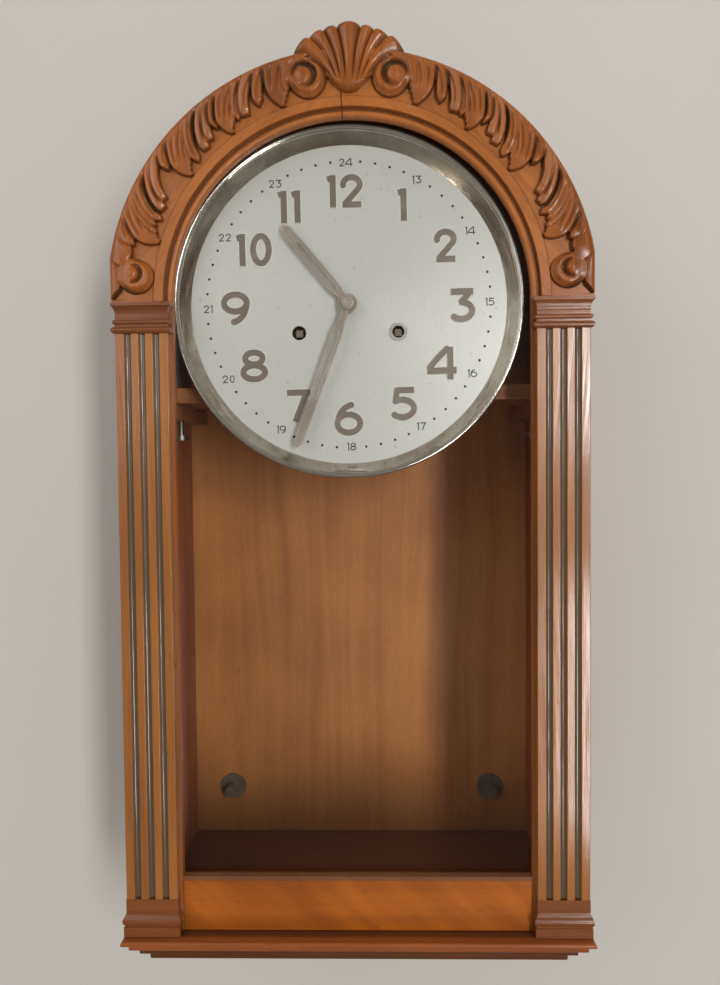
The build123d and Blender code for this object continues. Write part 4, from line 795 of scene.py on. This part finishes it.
def pressed_figure(sign, shift, place, high, stroke):
    """One pressed figure, as a height over a grid: a plateau with a raised rim.

    Inside is the distance to the outline of its strokes: half the stroke less the distance to a middle line,
    cut square at the ends, and round at the turns. The plateau is a smooth step of it, and the rim a bell curve.
    """
    half = np.abs(np.concatenate(STROKES[sign])[:, 0]).max() + 0.14
    across, up = np.meshgrid(np.linspace(-half, half, 92) * high, np.linspace(-0.54, 0.54, 104) * high)
    spot = np.stack([across.ravel(), up.ravel()], axis=-1)
    inside = np.full(len(spot), -9.0)
    for line in STROKES[sign]:
        a, b = line[:-1] * high, line[1:] * high
        long = np.linalg.norm(b - a, axis=1)
        way = (b - a) / long[:, None]
        off = spot[:, None, :] - a
        run = off[..., 0] * way[:, 0] + off[..., 1] * way[:, 1]
        side = off[..., 1] * way[:, 0] - off[..., 0] * way[:, 1]
        bars = np.minimum(stroke / 2 - np.abs(side), np.minimum(run, long - run))
        inside = np.maximum(inside, bars.max(axis=1))
        if len(a) > 1:
            turns = stroke / 2 - np.linalg.norm(spot[:, None, :] - a[1:], axis=-1)
            inside = np.maximum(inside, turns.max(axis=1))
    level = -0.15 + 0.62 * smooth(-0.15, 0.25, inside) + 0.2 * np.exp(-(((inside - 0.25) / 0.22) ** 2))
    flat = (spot + (shift * high, 0)) @ UPRIGHT + place
    x, z = flat[:, 0].reshape(across.shape), flat[:, 1].reshape(across.shape) + DIAL
    front = np.stack([x, DIAL_FACE - level.reshape(x.shape), z], axis=-1)
    back = front[:, [-1, 0]].copy()
    back[..., 1] = DIAL_FACE + 0.4
    # 1 on the tarnished flats, 0 on the raised rim, where a highlight is painted
    dark = smooth(0.22, 0.5, inside).reshape(x.shape)
    return skin(np.concatenate([front, back], axis=1), np.concatenate([dark, 0 * dark[:, :2]], axis=1))


def printed_figure(sign, shift, place, high, stroke):
    """One printed figure: a thin flat ribbon along each middle line."""
    flat = [(line + (shift, 0)) * high @ UPRIGHT + place for line in STROKES[sign]]
    across, level = np.array([-1.0, 0.0, 1.0]) * stroke / 2, np.array([0.03, 0.03, 0.03])
    return [skin(raised(line, across, level, DIAL_FACE, 0.2)) for line in flat]


def round_dial(hour, radius):
    """Place of an hour on the dial, turned with the plate."""
    turn = math.radians(30.0 * hour - DIAL_TURN)
    return np.array([DIAL_X + radius * math.sin(turn), radius * math.cos(turn)])


pressed, printed = {"right": [], "left": []}, []
for hour, place in PLACES.items():
    for sign, shift in set_out(str(hour)):
        figure = pressed_figure(sign, shift, np.array(place) + (DIAL_X, 0), HOUR_HIGH, HOUR_STROKE)
        pressed["right" if hour < 7 else "left"].append(figure)
    for sign, shift in set_out(str(hour + 12)):
        printed += printed_figure(sign, shift, round_dial(hour, SMALL_RADIUS), SMALL_HIGH, SMALL_STROKE)
for minute in range(60):
    if minute % 5:
        spot = round_dial(minute / 5, DOT_RADIUS)
        printed.append(skin(turned(spot, [0.86, 0.86, 0.8], DIAL_FACE - np.array([-0.1, 0.02, 0.04]), 16)))
for hand, figures in pressed.items():
    piece(f"hour_figures_{hand}", figures, "case", finishes["figures"], sharp=85.0)
piece("printed_figures", printed, "case", finishes["ink"], sharp=25.0)


def beaded(line, pitch):
    """A closed line with four points to each bead, and how high the bead stands at each, as a share."""
    ends = np.concatenate([line, line[:1]])
    run = np.append(0, np.cumsum(np.linalg.norm(np.diff(ends, axis=0), axis=1)))
    beads = int(round(run[-1] / pitch))
    at = np.linspace(0, run[-1], 4 * beads, endpoint=False)
    swell = np.tile([1.0, 0.84, 0.68, 0.84], beads)[:, None]
    return np.stack([np.interp(at, run, ends[:, 0]), np.interp(at, run, ends[:, 1])], axis=-1), swell


def hand_rims(long, wide, tip_wide, slot_to, turn, front):
    """Beaded borders round the outline of a hand and round its slot, and a plain ring round its hub.

    Each is a ribbon 1 wide along a closed line about half its width inside the edge, with the section 1 - t^2.
    """
    neck, slot_from, slot_to, half = 0.36 * wide, 0.17 * long, slot_to * long, 1.3
    right = [(neck - 0.55, 5.2), (neck - 0.55, slot_from - 4.2), (wide / 2 - 0.55, slot_from + 2.9),
             (tip_wide / 2 - 0.55, long - 0.62 * tip_wide - 0.3)]
    outline = right + [(0.0, long - 1.0)] + [(-x, y) for x, y in right[::-1]]
    slot = [(0.0, slot_from - 0.9), (half + 0.55, slot_from + 2.7), (0.85 * half + 0.55, slot_to - 2.7),
            (0.0, slot_to + 0.9), (-0.85 * half - 0.55, slot_to - 2.7), (-half - 0.55, slot_from + 2.7)]
    a = math.radians(turn)
    way = np.array([[math.cos(a), -math.sin(a)], [math.sin(a), math.cos(a)]])
    t = np.linspace(-1, 1, 9)
    made = []
    for line in (outline, slot):
        flat, swell = beaded(np.array(line) @ way + (DIAL_X, 0), 1.25)
        made.append(skin(raised(flat, 0.5 * t, 0.05 + 0.46 * swell * (1 - t**2), front, 0.1, True), 0.0, True))
    ring = np.linspace(0, 2 * np.pi, 72, endpoint=False)
    flat = 5.3 * np.stack([np.cos(ring), np.sin(ring)], axis=-1) + (DIAL_X, 0)
    made.append(skin(raised(flat, 0.5 * t, 0.05 + 0.40 * (1 - t**2), front, 0.1, True), 0.0, True))
    return made


# Length, width, width at the tip, share at which the slot ends, direction in degrees, depth of the face
piece("hour_hand_rims", hand_rims(67.0, 7.5, 7.2, 0.78, 320.2, -131.0), "hour_hand",
      finishes["edges"], sharp=60.0)
piece("minute_hand_rims", hand_rims(100.0, 7.0, 5.9, 0.68, 200.4, -133.6), "minute_hand",
      finishes["edges"], sharp=60.0)
button = turned((DIAL_X, 0), [3.9, 3.8, 3.3, 1.5, 1.25, 1.2, 0.9, 0.3],
                [-135.5, -135.7, -135.84, -135.88, -135.8, -135.65, -135.8, -135.86])
piece("hand_nut_button", [skin(button)], "minute_hand", finishes["nut"], sharp=60.0)

# The rolled bead on the front of the bezel: a half ellipse along a circle
BEAD_RADIUS, BEAD_HALF, BEAD_HIGH, BEAD_FOOT = 113.0, 1.4, 1.3, -133.8
turn = np.linspace(0, 2 * np.pi, 240, endpoint=False)
circle = BEAD_RADIUS * np.stack([np.cos(turn), np.sin(turn)], axis=-1) + (DIAL_X, 0)
t = np.sin(np.linspace(-np.pi / 2, np.pi / 2, 11))
bead = skin(raised(circle, BEAD_HALF * t, BEAD_HIGH * np.sqrt(1 - t**2), BEAD_FOOT, 0.2, True), 0.0, True)
piece("bezel_bead", [bead], "case", finishes["bead_plating"], sharp=60.0)


# ---------------------------------------------------------------- stage, light and camera


def plain_board(name, corners, tint):
    """A flat board for the stage. Seen from behind it is clear, so that the back of the clock shows."""
    mesh = bpy.data.meshes.new(name)
    mesh.from_pydata(corners, [], [(0, 1, 2, 3)])
    made = bpy.data.objects.new(name, mesh)
    bpy.context.scene.collection.objects.link(made)
    cover = bpy.data.materials.new(name + " paint")
    cover.use_nodes = True
    tree = cover.node_tree
    shader = tree.nodes["Principled BSDF"]
    shader.inputs["Roughness"].default_value = 0.8
    place = Tone(tree, tree.nodes.new("ShaderNodeTexCoord").outputs["Object"])
    mottle = place.noise(3.0, 3.0)
    place.feed(shader.inputs["Base Color"], mottle.blend(tint, tuple(0.93 * part for part in tint)))
    clear = place.node("BsdfTransparent")
    behind = place.node("NewGeometry", out=6)
    mixed = place.node("MixShader", {}, {0: behind, 1: Tone(tree, shader.outputs[0]), 2: clear})
    tree.links.new(mixed.socket, tree.nodes["Material Output"].inputs["Surface"])
    mesh.materials.append(cover)
    return made


wall = plain_board("wall", [(-3, 0.0008, -0.95), (3, 0.0008, -0.95), (3, 0.0008, 2.0), (-3, 0.0008, 2.0)],
                   colour(198, 194, 189))
wall.visible_shadow = False
floor = plain_board("floor", [(-3, -3, -0.95), (3, -3, -0.95), (3, 3, -0.95), (-3, 3, -0.95)], colour(214, 210, 204))
floor.visible_glossy = False


def placed(axes, place):
    """Matrix of a thing at a place, from its own three axes."""
    return Matrix([[*row, at] for row, at in zip(np.stack(axes, axis=1), place)] + [[0, 0, 0, 1]])


def soft_light(name, place, aim, width, height, power, tint=(1.0, 1.0, 1.0)):
    """A broad lamp at a place, turned to face an aim."""
    lamp = bpy.data.lights.new(name, "AREA")
    lamp.shape = "RECTANGLE"
    lamp.size, lamp.size_y = width, height
    lamp.energy = power
    lamp.color = tint
    made = bpy.data.objects.new(name, lamp)
    bpy.context.scene.collection.objects.link(made)
    way = np.array(aim, float) - np.array(place, float)
    back = -way / np.linalg.norm(way)
    right = np.cross((0, 0, 1), back)
    right = right / np.linalg.norm(right)
    up = np.cross(back, right)
    made.matrix_world = placed([right, up, back], place)
    return made


MIDDLE = (0.0, -0.1, -0.25)  # of the clock
BESIDE = (0.02, -0.1, -0.25)
WINDOW = (0.86, -2.14)  # right of the camera
window = soft_light("window light", (*WINDOW, -0.10), BESIDE, 0.28, 1.3, 28.0, (1.0, 0.985, 0.96))
window.visible_glossy = False
# What the polish mirrors of the window: two panes with a sill between them
for height, tall, power in ((0.065, 0.41, 12.5), (-1.04, 0.82, 21.0)):
    pane = soft_light("window pane", (*WINDOW, height), BESIDE, 0.44, tall, power)
    pane.visible_diffuse = False
soft_light("room light", (-1.3, -1.7, 0.5), MIDDLE, 1.5, 1.5, 12.0, (1.0, 0.975, 0.94))
soft_light("high light", (0.2, -0.9, 1.5), (0, -0.1, -0.1), 1.2, 0.7, 6.0).visible_glossy = False
soft_light("back light", (0.6, 1.8, 0.8), (0, 0, -0.25), 1.5, 1.2, 12.0)

# An even room, darker where it is mirrored
world = bpy.data.worlds.new("room")
bpy.context.scene.world = world
world.use_nodes = True
backdrop = world.node_tree.nodes["Background"]
room = Tone(world.node_tree, world.node_tree.nodes.new("ShaderNodeLightPath").outputs["Is Glossy Ray"])
room.feed(backdrop.inputs["Color"], room.blend((0.78, 0.77, 0.75), (0.40, 0.38, 0.35)))
backdrop.inputs["Strength"].default_value = 0.32

# The camera stands a little right of the middle, looks slightly down the case and leans by under a degree
YAW, PITCH, ROLL = math.radians(-1.22), math.radians(-1.92), math.radians(0.55)
FOCAL, PICTURE = 740.0, 985.0  # focal length and height of the picture, in pixels
EYE = (0.0145, -0.6192, -0.2196)
ahead = np.array([math.sin(YAW) * math.cos(PITCH), math.cos(YAW) * math.cos(PITCH), math.sin(PITCH)])
right = np.array([math.cos(YAW), -math.sin(YAW), 0.0])
down = np.cross(ahead, right)
right, down = right * math.cos(ROLL) + down * math.sin(ROLL), down * math.cos(ROLL) - right * math.sin(ROLL)
eye = bpy.data.cameras.new("camera")
eye.sensor_fit = "VERTICAL"
eye.sensor_height = 36.0
eye.lens = FOCAL * eye.sensor_height / PICTURE
eye.clip_start = 0.02
camera = bpy.data.objects.new("camera", eye)
bpy.context.scene.collection.objects.link(camera)
camera.matrix_world = placed([right, -down, -ahead], EYE)
bpy.context.scene.camera = camera
bpy.context.scene.view_settings.view_transform = "Standard"

bpy.context.view_layer.update()
